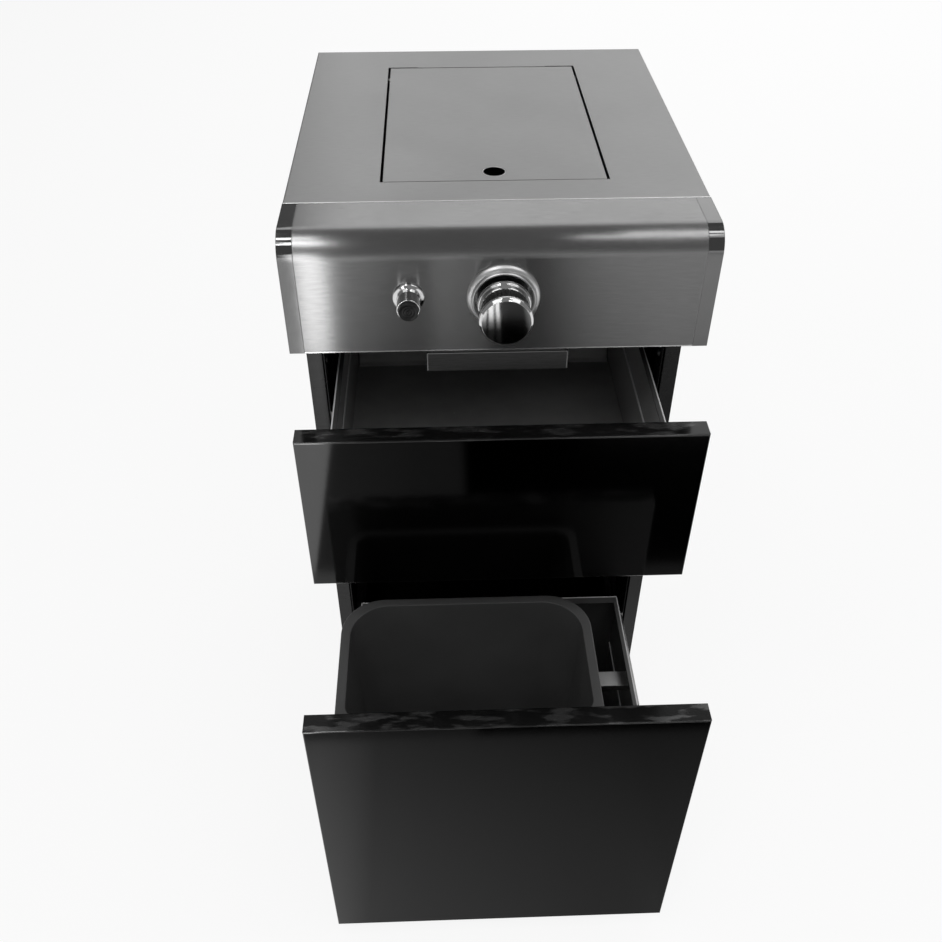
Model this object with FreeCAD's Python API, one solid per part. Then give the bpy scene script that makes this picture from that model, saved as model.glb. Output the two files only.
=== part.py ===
import FreeCAD, Part
import math
import os

# A side burner cabinet: a gas burner under a flush lid, over two drawers that stand open.
# Millimetres, +X to the right, +Y to the back, +Z up. The pieces are drawn with Y = 0 at the seam
# between the worktop and the control panel, and moved at the end, so that the origin is on the
# floor under the middle of the whole part.

# Heights, from the floor up
FOOT_HEIGHT = 30.0
LOWER_FRONT_HEIGHT = 447.0
FRONT_GAP = 30.0
UPPER_FRONT_HEIGHT = 216.0
PANEL_GAP = 55.0
PANEL_HEIGHT = 135.0

# Plan of the worktop, control panel and body
WORKTOP_WIDTH = 450.0
WORKTOP_DEPTH = 468.0
PANEL_REACH = 78.0
NOSE_RADIUS = 26.0
END_CAP_WIDTH = 16.0
BODY_INSET = 5.0
BACK_OVERHANG = 20.0
FRONT_FLANGE = 18.0

# Sheet thicknesses and folds
WORKTOP_SHEET = 1.5
BODY_SHEET = 1.2
FRONT_SHEET = 1.2
DRAWER_SHEET = 1.0
RAIL_SHEET = 1.2
SKIRT = 30.0
SEAM = 0.4
SEAM_FOLD = 18.0
PANEL_RETURN = 20.0
BODY_FOLD = 20.0
FOLD_RADIUS = 1.5

# Clearances: between moving pieces, round a shaft, and round a piece passing through a sheet
CLEARANCE = 0.3
SHAFT_CLEARANCE = 0.05
HOLE_CLEARANCE = 0.1

# Lid, its hinge and its stop
LID_WIDTH = 244.0
LID_LENGTH = 351.0
LID_FRONT = 48.0
LID_SIDE_GAP = 3.0
LID_FRONT_GAP = 1.0
LID_TONGUE_GAP = 1.9
LID_SLOT_GAP = 3.4
LID_TONGUE_WIDTH = 172.0
LID_FOLD = 14.0
LID_OPEN_ANGLE = 100.0
HINGE_INSET = 23.0
HINGE_DROP = 8.0
HINGE_PIN_RADIUS = 2.5
HINGE_PIN_HEAD = 4.0
HINGE_PIN_HOLD = 6.0
STOP_INSET = 5.0
FINGER_HOLE_RADIUS = 13.0
FINGER_HOLE_INSET = 23.0
LEDGE_WIDTH = 8.0
CORNER_RELIEF = 2.0

# Burner well, burner and gas line
WELL_DEPTH = 54.0
WELL_SHEET = 1.0
WELL_MARGIN = 3.5
WELL_BACK_ROOM = 8.0
WELL_RIM = 12.0
BURNER_RADIUS = 36.0
BURNER_WALL = 4.0
BURNER_BASE_HEIGHT = 14.0
BURNER_HEAD_HEIGHT = 10.0
BURNER_CAP_HEIGHT = 6.0
BURNER_PORTS = 24
PORT_WIDTH = 2.0
VENTURI_RADIUS = 11.0
VENTURI_WALL = 1.5
VENTURI_GAP = 1.0
BELL_RADIUS = 15.0
BELL_LENGTH = 24.0
AIR_WINDOW_START = 8.4
AIR_WINDOW_LENGTH = 9.6
AIR_WINDOW_HEIGHT = 10.0
JET_RADIUS = 4.5
JET_OVERLAP = 4.0
JET_LENGTH = 14.4
JET_SHOULDER = 10.0
JET_TIP_RADIUS = 2.7
JET_BORE = 1.0
PIPE_RADIUS = 5.0
PIPE_WALL = 1.0
PIPE_X = 90.0
PIPE_BEND = 25.0
PIPE_SLEEVE = 2.0
INLET_RADIUS = 6.6
INLET_BORE = 4.0
INLET_LENGTH = 16.0
INLET_COLLAR = 4.0
GRATE_RADIUS = 96.0
GRATE_BAR = 8.0
GRATE_TOP_GAP = 8.0
GRATE_FINGERS = 4
GRATE_FINGER_END = 29.0
GRATE_TURN = 45.0
ELECTRODE_RADIUS = 3.5
ELECTRODE_ROD = 1.2
ELECTRODE_OUT = 12.0
ELECTRODE_BELOW = 20.0
ELECTRODE_TAIL = 30.0
LEAD_DROP = 60.0
LEAD_BEND = 24.0

# Knob, its bezel and the gas valve
KNOB_X = 3.0
KNOB_DROP = 70.0
KNOB_REACH = 50.0
KNOB_RADIUS = 27.7
KNOB_PUSH = 3.0
SKIRT_BASE_GAP = 13.0
SKIRT_LENGTH = 12.0
SKIRT_RADIUS = 28.0
GRIP_LENGTH = 17.0
GRIP_RADIUS = 25.0
GRIP_RIBS = 36
GROOVE_WIDTH = 1.6
GROOVE_DEPTH = 1.2
SKIRT_EDGE = 2.0
SKIRT_ROUND = 1.0
CAP_BEVEL = 3.0
CAP_EDGE = 1.0
CAP_DISH = 0.6
BEZEL_RADIUS = 38.0
BEZEL_HEIGHT = 10.0
BEZEL_EDGE = 2.0
BEZEL_SHOULDER = 4.0
BEZEL_SHOULDER_WIDTH = 1.5
BEZEL_LIP_FOOT = 5.5
BEZEL_LIP_GAP = 2.0
BEZEL_LIP_WIDTH = 1.5
BEZEL_LIP_SLOPE = 2.0
SPINDLE_RADIUS = 4.0
SPINDLE_DEPTH = 26.0
SPINDLE_HOLE_GAP = 2.5
VALVE_WIDTH = 32.0
VALVE_BOSS = 10.0
VALVE_LENGTH = 36.0

# Igniter button
IGNITER_X = -95.0
IGNITER_DROP = 68.0
IGNITER_REACH = 31.0
IGNITER_PUSH = 4.0
IGNITER_RADIUS = 17.0
IGNITER_FLANGE = 4.0
COLLAR_RADIUS = 12.0
COLLAR_LENGTH = 22.0
BUTTON_RADIUS = 10.0
BUTTON_LENGTH = 15.0
BUTTON_BEVEL = 1.5
PLUNGER_RADIUS = 3.0
PLUNGER_LENGTH = 18.0
PLUNGER_ROOM = 1.0
PIEZO_RADIUS = 9.0
PIEZO_LENGTH = 46.0
LEAD_RADIUS = 2.5

# Drip tray and its rails
PULL_WIDTH = 158.0
PULL_SETBACK = 27.0
PULL_TOP_GAP = 21.0
PULL_BOTTOM_GAP = 10.0
PULL_RETURN = 10.0
TRAY_WIDTH = 144.0
TRAY_LENGTH = 380.0
TRAY_DEPTH = 22.0
TRAY_FLANGE = 10.0
TRAY_RAIL_HEIGHT = 11.0

# Drawers: how far out the upper one stands, how much travel the lower one has left, and their boxes
FRONT_THICKNESS = 23.0
CLOSED_GAP = 1.0
UPPER_PULL = 139.0
LOWER_PULL_LEFT = 6.0
UPPER_BOX_TOP_ROOM = 30.0
UPPER_BOX_BOTTOM_ROOM = 26.0
UPPER_BOX_BACK_ROOM = 48.0
LOWER_BOX_HEIGHT = 230.0
LOWER_BOX_BOTTOM_ROOM = 23.0
LOWER_BOX_BACK_ROOM = 117.0
BOX_RETURN = 6.0

# Slides and the posts that carry them
SLIDE_HEIGHT = 45.0
SLIDE_SPACE = 13.0
RAIL_FLANGE_GAP = 3.25
POST_CLEARANCE = 2.0
POST_WIDTH = 30.0
POST_SHEET = 1.5
POST_TOP_GAP = 20.0
FRONT_POST_Y = 5.0
REAR_POST_Y = 285.0
UPPER_SLIDE_LIFT = 80.0
LOWER_SLIDE_LIFT = 170.0

# Waste bin and the bar behind it
BIN_WIDTH = 305.0
BIN_DEPTH = 188.0
BIN_OVERHANG = 5.0
BIN_FRONT_ROOM = 6.0
BIN_DROP = 34.0
BIN_RIM = 9.0
BIN_LIP = 12.0
BIN_WALL = 2.5
BIN_TAPER = 20.0
BIN_CORNER = 52.0
CROSSBAR_WIDTH = 24.0
CROSSBAR_DROP = 25.0
CROSSBAR_FOLD = 10.0

# Rail between the drawer fronts
CROSS_RAIL_MARGIN = 4.5

# Feet and screws
FOOT_INSET = 32.0
FOOT_RADIUS = 20.0
FOOT_PAD = 12.0
FOOT_PAD_EDGE = 4.8
STUD_RADIUS = 4.0
STUD_ABOVE = 12.0
NUT_RADIUS = 7.5
NUT_HEIGHT = 6.0
SCREW_HEAD_RADIUS = 4.0
SCREW_HEAD_HEIGHT = 2.0
SCREW_RADIUS = 2.0
SCREW_LENGTH = 6.0
SCREW_HEAD_FLAT = 2.8
BACK_SCREW_ROWS = 4
DRAWER_SCREW_INSET = 56.0

# Levels worked out from the heights
LOWER_FRONT_TOP = FOOT_HEIGHT + LOWER_FRONT_HEIGHT
UPPER_FRONT_BOTTOM = LOWER_FRONT_TOP + FRONT_GAP
UPPER_FRONT_TOP = UPPER_FRONT_BOTTOM + UPPER_FRONT_HEIGHT
PANEL_BOTTOM = UPPER_FRONT_TOP + PANEL_GAP
TOP = PANEL_BOTTOM + PANEL_HEIGHT
WELL_FLOOR = TOP - WELL_DEPTH
KNOB_Z = TOP - KNOB_DROP
IGNITER_Z = TOP - IGNITER_DROP
GAS_Z = WELL_FLOOR - WELL_SHEET - VENTURI_GAP - VENTURI_RADIUS
HINGE_Z = TOP - HINGE_DROP

# Places across and along, worked out from the plan
HALF_WIDTH = WORKTOP_WIDTH / 2
BODY_HALF = HALF_WIDTH - BODY_INSET
BODY_DEPTH = WORKTOP_DEPTH - BACK_OVERHANG
BODY_INSIDE = BODY_HALF - BODY_SHEET
BACK_FACE = BODY_DEPTH - 2 * BODY_SHEET
POST_FACE = BODY_HALF - FRONT_FLANGE - POST_CLEARANCE
BOX_HALF = POST_FACE - SLIDE_SPACE
LID_HALF = LID_WIDTH / 2
LID_BACK = LID_FRONT + LID_LENGTH
CUTOUT_HALF = LID_HALF + LID_SIDE_GAP
CUTOUT_FRONT = LID_FRONT - LID_FRONT_GAP
CUTOUT_BACK = LID_BACK + LID_SLOT_GAP
CUTOUT_FOLD = HINGE_DROP + HINGE_INSET + STOP_INSET
HINGE_Y = LID_BACK - HINGE_INSET
WELL_CORNER = 2 * WELL_MARGIN + WELL_SHEET
BURNER_Y = LID_FRONT + LID_LENGTH / 2
PANEL_FACE = -PANEL_REACH
PANEL_INSIDE = PANEL_FACE + WORKTOP_SHEET
VALVE_FRONT = PANEL_INSIDE + VALVE_BOSS
VALVE_BACK = VALVE_FRONT + VALVE_LENGTH
LOWER_BOX_LENGTH = BODY_DEPTH - LOWER_BOX_BACK_ROOM
LOWER_PULL = LOWER_BOX_LENGTH - LOWER_PULL_LEFT
UPPER_FACE = -CLOSED_GAP - UPPER_PULL
LOWER_FACE = -CLOSED_GAP - LOWER_PULL
UPPER_BOX_BOTTOM = UPPER_FRONT_BOTTOM + UPPER_BOX_BOTTOM_ROOM
UPPER_BOX_TOP = UPPER_FRONT_TOP - UPPER_BOX_TOP_ROOM
UPPER_BOX_LENGTH = BODY_DEPTH - UPPER_BOX_BACK_ROOM
LOWER_BOX_BOTTOM = FOOT_HEIGHT + LOWER_BOX_BOTTOM_ROOM
LOWER_BOX_TOP = LOWER_BOX_BOTTOM + LOWER_BOX_HEIGHT
BIN_TOP = LOWER_FRONT_TOP - BIN_DROP
BIN_BOTTOM = LOWER_BOX_BOTTOM + DRAWER_SHEET
BIN_FRONT = LOWER_FACE + BIN_FRONT_ROOM
BIN_LEFT = -BOX_HALF - BIN_OVERHANG

Vec = FreeCAD.Vector
AXIS_X = Vec(1, 0, 0)
AXIS_Y = Vec(0, 1, 0)
AXIS_Z = Vec(0, 0, 1)
ORIGIN = Vec(0, 0, 0)
OUTWARDS = Vec(0, -1, 0)
TINY = 0.01

# How far a cutter reaches past what it cuts
OVERRUN = 5.0


# Shapes that the pieces are made of

def block(x, y, z):
    """Box between the low and high limit given for each axis."""
    return Part.makeBox(x[1] - x[0], y[1] - y[0], z[1] - z[0], Vec(x[0], y[0], z[0]))


def rod(radius, start, end):
    """Round bar between two points."""
    run = end.sub(start)
    return Part.makeCylinder(radius, run.Length, start, run)


def tray(x, y, z, sheet):
    """Folded sheet tray, open at the top, with its outer limits given for each axis."""
    inside_x = (x[0] + sheet, x[1] - sheet)
    inside_y = (y[0] + sheet, y[1] - sheet)
    return block(x, y, z).cut(block(inside_x, inside_y, (z[0] + sheet, z[1] + OVERRUN)))


def join(pieces):
    """One solid from pieces that touch or cross."""
    return pieces[0].multiFuse(pieces[1:]).removeSplitter()


def both_sides(right):
    """A right-hand solid and its mirror image, as one group."""
    return Part.makeCompound([right, mirrored(right)])


def mirrored(right):
    """The left-hand twin of a right-hand solid."""
    return right.mirror(ORIGIN, AXIS_X)


def turned(profile, origin, axis):
    """Solid of revolution from (radius, height) points, with its height along the axis at the origin."""
    points = [Vec(radius, 0, height) for radius, height in profile]
    face = Part.Face(Part.makePolygon(points + points[:1]))
    solid = face.revolve(ORIGIN, AXIS_Z, 360)
    solid.Placement = FreeCAD.Placement(origin, FreeCAD.Rotation(AXIS_Z, axis))
    return solid


def runs_along(edge, axis):
    """True for a straight edge that lies along the axis."""
    direction = edge.tangentAt(edge.FirstParameter)
    return edge.Curve.TypeId == "Part::GeomLine" and abs(direction.dot(axis)) > 1 - TINY


def rounded_rectangle(x, y, z, radius):
    """Closed wire at height z, with round corners."""
    plate = block(x, y, (z, z + OVERRUN))
    plate = plate.makeFillet(radius, [edge for edge in plate.Edges if runs_along(edge, AXIS_Z)])
    return min(plate.Faces, key=lambda face: face.CenterOfMass.z).OuterWire


def bent_tube(points, bend, outer, inner):
    """Round tube along straight runs joined by tangent arcs; inner 0 makes it solid."""
    edges = []
    start = points[0]
    for before, corner, after in zip(points, points[1:], points[2:]):
        back = before.sub(corner).normalize()
        ahead = after.sub(corner).normalize()
        half_turn = (math.pi - back.getAngle(ahead)) / 2
        reach = bend * math.tan(half_turn)
        first = corner.add(Vec(back).multiply(reach))
        last = corner.add(Vec(ahead).multiply(reach))
        inward = back.add(ahead).normalize()
        middle = corner.add(inward.multiply(bend / math.cos(half_turn) - bend))
        edges.append(Part.LineSegment(start, first).toShape())
        edges.append(Part.Arc(first, middle, last).toShape())
        start = last
    edges.append(Part.LineSegment(start, points[-1]).toShape())
    path = Part.Wire(edges)
    heading = points[1].sub(points[0])

    def swept(radius):
        ring = Part.Wire(Part.makeCircle(radius, points[0], heading))
        return path.makePipeShell([ring], True, False)

    return swept(outer).cut(swept(inner)) if inner else swept(outer)


def screw(head_seat, outward):
    """Pan-head screw with its head on the seat point, pointing outward, and its shank behind it."""
    profile = [
        (0, -SCREW_LENGTH), (SCREW_RADIUS, -SCREW_LENGTH), (SCREW_RADIUS, 0), (SCREW_HEAD_RADIUS, 0),
        (SCREW_HEAD_RADIUS, SCREW_HEAD_HEIGHT / 2), (SCREW_HEAD_FLAT, SCREW_HEAD_HEIGHT),
        (0, SCREW_HEAD_HEIGHT),
    ]
    return turned(profile, head_seat, outward)


def screw_hole(head_seat, outward):
    """Cutter for the hole that a screw's shank passes through."""
    start = head_seat.add(Vec(outward).multiply(OVERRUN))
    end = head_seat.sub(Vec(outward).multiply(SCREW_LENGTH + OVERRUN))
    return rod(SCREW_RADIUS + HOLE_CLEARANCE, start, end)


# Where the screws sit: each entry is the head's seat and the way the head faces

def post_screw_seats():
    """On the inner face of each slide post, above the upper slide and below the lower one."""
    levels = (UPPER_BOX_TOP + BODY_FOLD / 2, LOWER_BOX_BOTTOM + BODY_FOLD)
    seats = []
    for side in (-1, 1):
        for start in (FRONT_POST_Y, REAR_POST_Y):
            for level in levels:
                seats.append((Vec(side * POST_FACE, start + POST_WIDTH / 2, level), Vec(-side, 0, 0)))
    return seats


def back_screw_seats():
    """Down both edges of the back panel, on the side panels' rear flanges."""
    low = FOOT_HEIGHT + BODY_FOLD * 2
    pitch = (TOP - BODY_FOLD * 4 - low) / (BACK_SCREW_ROWS - 1)
    column = BODY_HALF - FRONT_FLANGE / 2
    levels = [low + row * pitch for row in range(BACK_SCREW_ROWS)]
    return [(Vec(side * column, BODY_DEPTH, level), AXIS_Y) for side in (-1, 1) for level in levels]


def drawer_screw_seats(face, bottom, top):
    """Four screws inside a drawer box, through its front wall into the liner of the drawer front."""
    seat_y = face + DRAWER_SHEET
    column = BOX_HALF - DRAWER_SCREW_INSET
    rows = (bottom + BODY_FOLD, top - BODY_FOLD)
    return [(Vec(side * column, seat_y, row), AXIS_Y) for side in (-1, 1) for row in rows]


def screws(seats):
    return Part.makeCompound([screw(seat, outward) for seat, outward in seats])


def drilled(shape, seats):
    """The shape with the holes that its screws pass through."""
    return shape.cut([screw_hole(seat, outward) for seat, outward in seats])


# Body

def side_panel():
    """Right-hand wall with flanges at the front, back, top and bottom."""
    across = (BODY_HALF - FRONT_FLANGE, BODY_HALF)
    height = (FOOT_HEIGHT, TOP - WORKTOP_SHEET)
    length = (0, BODY_DEPTH)
    panel = join([
        block((BODY_INSIDE, BODY_HALF), length, height),
        block(across, (0, BODY_SHEET), height),
        block(across, (BODY_DEPTH - BODY_SHEET, BODY_DEPTH), height),
        block(across, length, (FOOT_HEIGHT, FOOT_HEIGHT + BODY_SHEET)),
        block(across, length, (height[1] - BODY_SHEET, height[1])),
    ])
    seam_room = TOP - SEAM_FOLD - CLEARANCE
    notch = block((0, HALF_WIDTH), (-OVERRUN, WORKTOP_SHEET + CLEARANCE), (seam_room, TOP))
    return drilled(panel.cut(notch), back_screw_seats())


def back_panel():
    """Flat sheet in front of the side panels' rear flanges, with the gas inlet's hole."""
    height = (FOOT_HEIGHT + BODY_SHEET, TOP - WORKTOP_SHEET - BODY_SHEET)
    sheet = block((-BODY_INSIDE, BODY_INSIDE), (BACK_FACE, BACK_FACE + BODY_SHEET), height)
    centre = Vec(PIPE_X, BACK_FACE, GAS_Z)
    reach = Vec(0, OVERRUN, 0)
    hole = rod(INLET_RADIUS + HOLE_CLEARANCE, centre.sub(reach), centre.add(reach))
    return drilled(sheet.cut(hole), back_screw_seats())


def foot_places():
    column = BODY_HALF - FOOT_INSET
    return [(side * column, y) for side in (-1, 1) for y in (FOOT_INSET, BODY_DEPTH - FOOT_INSET)]


def bottom_panel():
    """Floor sheet on the side panels' bottom flanges, with a hole for each foot's stud."""
    level = FOOT_HEIGHT + BODY_SHEET
    sheet = block((-BODY_INSIDE, BODY_INSIDE), (BODY_SHEET, BACK_FACE), (level, level + BODY_SHEET))
    radius = STUD_RADIUS + HOLE_CLEARANCE
    holes = [rod(radius, Vec(x, y, 0), Vec(x, y, level + OVERRUN)) for x, y in foot_places()]
    return sheet.cut(holes)


def foot_studs():
    """Threaded stud with a nut above and below the floor sheet, at each corner."""
    low = FOOT_HEIGHT + BODY_SHEET
    high = low + BODY_SHEET
    profile = [
        (0, FOOT_PAD), (STUD_RADIUS, FOOT_PAD), (STUD_RADIUS, low - NUT_HEIGHT),
        (NUT_RADIUS, low - NUT_HEIGHT), (NUT_RADIUS, low), (STUD_RADIUS, low),
        (STUD_RADIUS, high), (NUT_RADIUS, high),
        (NUT_RADIUS, high + NUT_HEIGHT), (STUD_RADIUS, high + NUT_HEIGHT), (STUD_RADIUS, high + STUD_ABOVE),
        (0, high + STUD_ABOVE),
    ]
    return Part.makeCompound([turned(profile, Vec(x, y, 0), AXIS_Z) for x, y in foot_places()])


def foot_pads():
    """Round levelling pad under each stud."""
    profile = [(0, 0), (FOOT_RADIUS, 0), (FOOT_RADIUS, FOOT_PAD_EDGE), (NUT_RADIUS, FOOT_PAD), (0, FOOT_PAD)]
    return Part.makeCompound([turned(profile, Vec(x, y, 0), AXIS_Z) for x, y in foot_places()])


def slide_posts():
    """Two upright channels inside the right-hand wall, which bring the slides out to the flange's edge."""
    low = FOOT_HEIGHT + 2 * BODY_SHEET
    height = (low, PANEL_BOTTOM - POST_TOP_GAP)
    posts = []
    for start in (FRONT_POST_Y, REAR_POST_Y):
        end = start + POST_WIDTH
        channel = block((POST_FACE, BODY_INSIDE), (start, end), height)
        hollow_y = (start + POST_SHEET, end - POST_SHEET)
        channel = channel.cut(block((POST_FACE + POST_SHEET, HALF_WIDTH), hollow_y, height))
        posts.append(drilled(channel, post_screw_seats()))
    return posts


def front_cross_rail():
    """Channel between the front posts, behind the gap between the two drawer fronts."""
    level = (LOWER_FRONT_TOP + CROSS_RAIL_MARGIN, UPPER_FRONT_BOTTOM - CROSS_RAIL_MARGIN)
    start = FRONT_POST_Y + POST_SHEET
    channel = block((-POST_FACE, POST_FACE), (start, start + BODY_FOLD), level)
    inside = (level[0] + BODY_SHEET, level[1] - BODY_SHEET)
    return channel.cut(block((-BODY_HALF, BODY_HALF), (start + BODY_SHEET, BODY_DEPTH), inside))


def apron():
    """Front frame under the worktop, open for the burner tube and the gas pipe."""
    height = (PANEL_BOTTOM, TOP - SEAM_FOLD - CLEARANCE)
    plate = block((-BODY_INSIDE, BODY_INSIDE), (BODY_SHEET, 2 * BODY_SHEET), height)
    flange_y = (BODY_SHEET, BODY_SHEET + BODY_FOLD)
    flange = block((-BODY_INSIDE, BODY_INSIDE), flange_y, (PANEL_BOTTOM, PANEL_BOTTOM + BODY_SHEET))
    window_x = BODY_INSIDE - FRONT_FLANGE - BODY_FOLD
    window_z = (PANEL_BOTTOM + BODY_FOLD, height[1] - BODY_FOLD)
    return join([plate, flange]).cut(block((-window_x, window_x), (0, OVERRUN), window_z))


# Worktop, lid and control panel

def cutout_side_fold():
    """Fold under the right-hand edge of the lid's cut-out, which carries the hinge and stop pins."""
    across = (CUTOUT_HALF, CUTOUT_HALF + WORKTOP_SHEET)
    along = (CUTOUT_FRONT + LEDGE_WIDTH + CORNER_RELIEF, LID_BACK)
    fold = block(across, along, (TOP - CUTOUT_FOLD, TOP))
    radius = HINGE_PIN_RADIUS + SHAFT_CLEARANCE
    holes = [rod(radius, Vec(0, y, z), Vec(HALF_WIDTH, y, z)) for y, z in pin_places()]
    return fold.cut(holes)


def worktop():
    """Flat sheet folded down all round, with the lid's cut-out and a ledge under the lid's front edge."""
    sheet = WORKTOP_SHEET
    slab = block((-HALF_WIDTH, HALF_WIDTH), (0, WORKTOP_DEPTH), (TOP - SKIRT, TOP))
    slab = slab.makeFillet(FOLD_RADIUS, [edge for edge in slab.Edges if is_worktop_outer_edge(edge)])
    hollow_x = HALF_WIDTH - sheet
    slab = slab.cut(block((-hollow_x, hollow_x), (sheet, WORKTOP_DEPTH - sheet), (0, TOP - sheet)))
    slab = slab.cut(block((-HALF_WIDTH, HALF_WIDTH), (-OVERRUN, sheet), (0, TOP - SEAM_FOLD)))
    slab = slab.cut(block((-CUTOUT_HALF, CUTOUT_HALF), (CUTOUT_FRONT, CUTOUT_BACK), (0, TOP + OVERRUN)))
    tongue_half = LID_TONGUE_WIDTH / 2
    tongue_y = (LID_BACK + LID_TONGUE_GAP, CUTOUT_BACK + sheet)
    tongue = block((-tongue_half, tongue_half), tongue_y, (TOP - sheet, TOP))
    ledge_z = TOP - LID_FOLD - CLEARANCE
    front_fold_y = (CUTOUT_FRONT - sheet, CUTOUT_FRONT)
    front_half = CUTOUT_HALF - CORNER_RELIEF
    front_x = (-front_half, front_half)
    front_fold = block(front_x, front_fold_y, (ledge_z - sheet, TOP))
    ledge = block(front_x, (CUTOUT_FRONT - sheet, CUTOUT_FRONT + LEDGE_WIDTH), (ledge_z - sheet, ledge_z))
    right_fold = cutout_side_fold()
    return join([slab, tongue, front_fold, ledge, right_fold, mirrored(right_fold)])


def is_worktop_outer_edge(edge):
    """The long top edges at the left, right and back, where the sheet is folded down."""
    middle = edge.CenterOfMass
    at_top = abs(middle.z - TOP) < TINY
    return at_top and middle.y > TINY


def pin_places():
    """(y, z) of the hinge pin, and of the stop pin that the open lid's rear edge comes to rest on."""
    angle = math.radians(LID_OPEN_ANGLE)
    along = HINGE_INSET - STOP_INSET
    under = HINGE_DROP - WORKTOP_SHEET - CLEARANCE - HINGE_PIN_RADIUS
    stop_y = HINGE_Y + along * math.cos(angle) + under * math.sin(angle)
    stop_z = HINGE_Z - along * math.sin(angle) + under * math.cos(angle)
    return [(HINGE_Y, HINGE_Z), (stop_y, stop_z)]


def lid_pins():
    """Hinge pin and stop pin on the right, each with a head outside the cut-out's fold."""
    head_seat = CUTOUT_HALF + WORKTOP_SHEET
    pins = []
    for y, z in pin_places():
        shank = rod(HINGE_PIN_RADIUS, Vec(LID_HALF - HINGE_PIN_HOLD, y, z), Vec(head_seat, y, z))
        head = rod(HINGE_PIN_HEAD, Vec(head_seat, y, z), Vec(head_seat + WORKTOP_SHEET, y, z))
        pins.append(join([shank, head]))
    return pins


def lid():
    """Flush lid with folded front and side edges, a finger hole, and ears on the hinge pins."""
    sheet = WORKTOP_SHEET
    plate = block((-LID_HALF, LID_HALF), (LID_FRONT, LID_BACK), (TOP - sheet, TOP))
    fold_z = (TOP - LID_FOLD, TOP)
    front = block((-LID_HALF, LID_HALF), (LID_FRONT, LID_FRONT + sheet), fold_z)
    side = block((LID_HALF - sheet, LID_HALF), (LID_FRONT, HINGE_Y + HINGE_DROP), fold_z)
    pin_radius = HINGE_PIN_RADIUS + SHAFT_CLEARANCE
    side = side.cut(rod(pin_radius, Vec(0, HINGE_Y, HINGE_Z), Vec(HALF_WIDTH, HINGE_Y, HINGE_Z)))
    hole_y = LID_FRONT + FINGER_HOLE_INSET
    finger_hole = rod(FINGER_HOLE_RADIUS, Vec(0, hole_y, TOP - OVERRUN), Vec(0, hole_y, TOP + OVERRUN))
    return join([plate, front, side, mirrored(side)]).cut(finger_hole)


def panel_section(inset):
    """Face of the control panel's end view: flat top, round nose, upright face, flat bottom."""
    back = -SEAM - inset
    front = PANEL_FACE + inset
    top = TOP - inset
    bottom = PANEL_BOTTOM + inset
    radius = NOSE_RADIUS - inset
    nose = math.radians(45)
    centre = Vec(0, front + radius, top - radius)
    nose_middle = centre.add(Vec(0, -radius * math.cos(nose), radius * math.sin(nose)))
    nose_top = centre.add(Vec(0, 0, radius))
    nose_front = centre.add(Vec(0, -radius, 0))
    lower_front = Vec(0, front, bottom)
    lower_back = Vec(0, back, bottom)
    upper_back = Vec(0, back, top)
    edges = [
        Part.LineSegment(upper_back, nose_top).toShape(),
        Part.Arc(nose_top, nose_middle, nose_front).toShape(),
        Part.LineSegment(nose_front, lower_front).toShape(),
        Part.LineSegment(lower_front, lower_back).toShape(),
        Part.LineSegment(lower_back, upper_back).toShape(),
    ]
    return Part.Face(Part.Wire(edges))


def panel_band(x):
    """Folded sheet of the control panel's shape between two x limits, open at the back and below."""
    length = Vec(x[1] - x[0], 0, 0)
    start = Vec(x[0], 0, 0)
    solid = panel_section(0).extrude(length)
    solid.translate(start)
    inside = panel_section(WORKTOP_SHEET).extrude(length)
    inside.translate(start)
    opening_y = (PANEL_FACE + PANEL_RETURN, OVERRUN)
    opening = block((-HALF_WIDTH, HALF_WIDTH), opening_y, (0, TOP - SEAM_FOLD))
    return solid.cut(inside).cut(opening)


def control_panel():
    """Round-nosed front panel between the end caps, with holes for the spindle and the igniter."""
    half = HALF_WIDTH - END_CAP_WIDTH
    panel = panel_band((-half, half))
    spindle_hole = rod(SPINDLE_RADIUS + SPINDLE_HOLE_GAP, knob_point(OVERRUN), knob_point(-OVERRUN))
    igniter_hole = rod(PIEZO_RADIUS + HOLE_CLEARANCE, igniter_point(OVERRUN), igniter_point(-OVERRUN))
    return panel.cut([spindle_hole, igniter_hole])


def panel_end_cap():
    """Right-hand polished end of the control panel: a band of its shape and the end wall."""
    band = panel_band((HALF_WIDTH - END_CAP_WIDTH, HALF_WIDTH))
    wall = panel_section(0).extrude(Vec(WORKTOP_SHEET, 0, 0))
    wall.translate(Vec(HALF_WIDTH - WORKTOP_SHEET, 0, 0))
    return join([band, wall])


def panel_floor():
    """Plate that closes the control panel from below, from its return fold back to the apron."""
    level = PANEL_BOTTOM + WORKTOP_SHEET
    return block((-POST_FACE, POST_FACE), (PANEL_INSIDE, BODY_SHEET), (level, level + BODY_SHEET))


# Burner and gas line

def well_shell(inset, top):
    """Rounded block of the well's inside or outside form."""
    half = CUTOUT_HALF + WORKTOP_SHEET + WELL_MARGIN + WELL_SHEET - inset
    front = CUTOUT_FRONT - WORKTOP_SHEET - WELL_MARGIN - WELL_SHEET + inset
    back = CUTOUT_BACK + WELL_BACK_ROOM + WELL_SHEET - inset
    solid = block((-half, half), (front, back), (WELL_FLOOR - WELL_SHEET + inset, top))
    corners = [edge for edge in solid.Edges if runs_along(edge, AXIS_Z)]
    return solid.makeFillet(WELL_CORNER - inset, corners)


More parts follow.
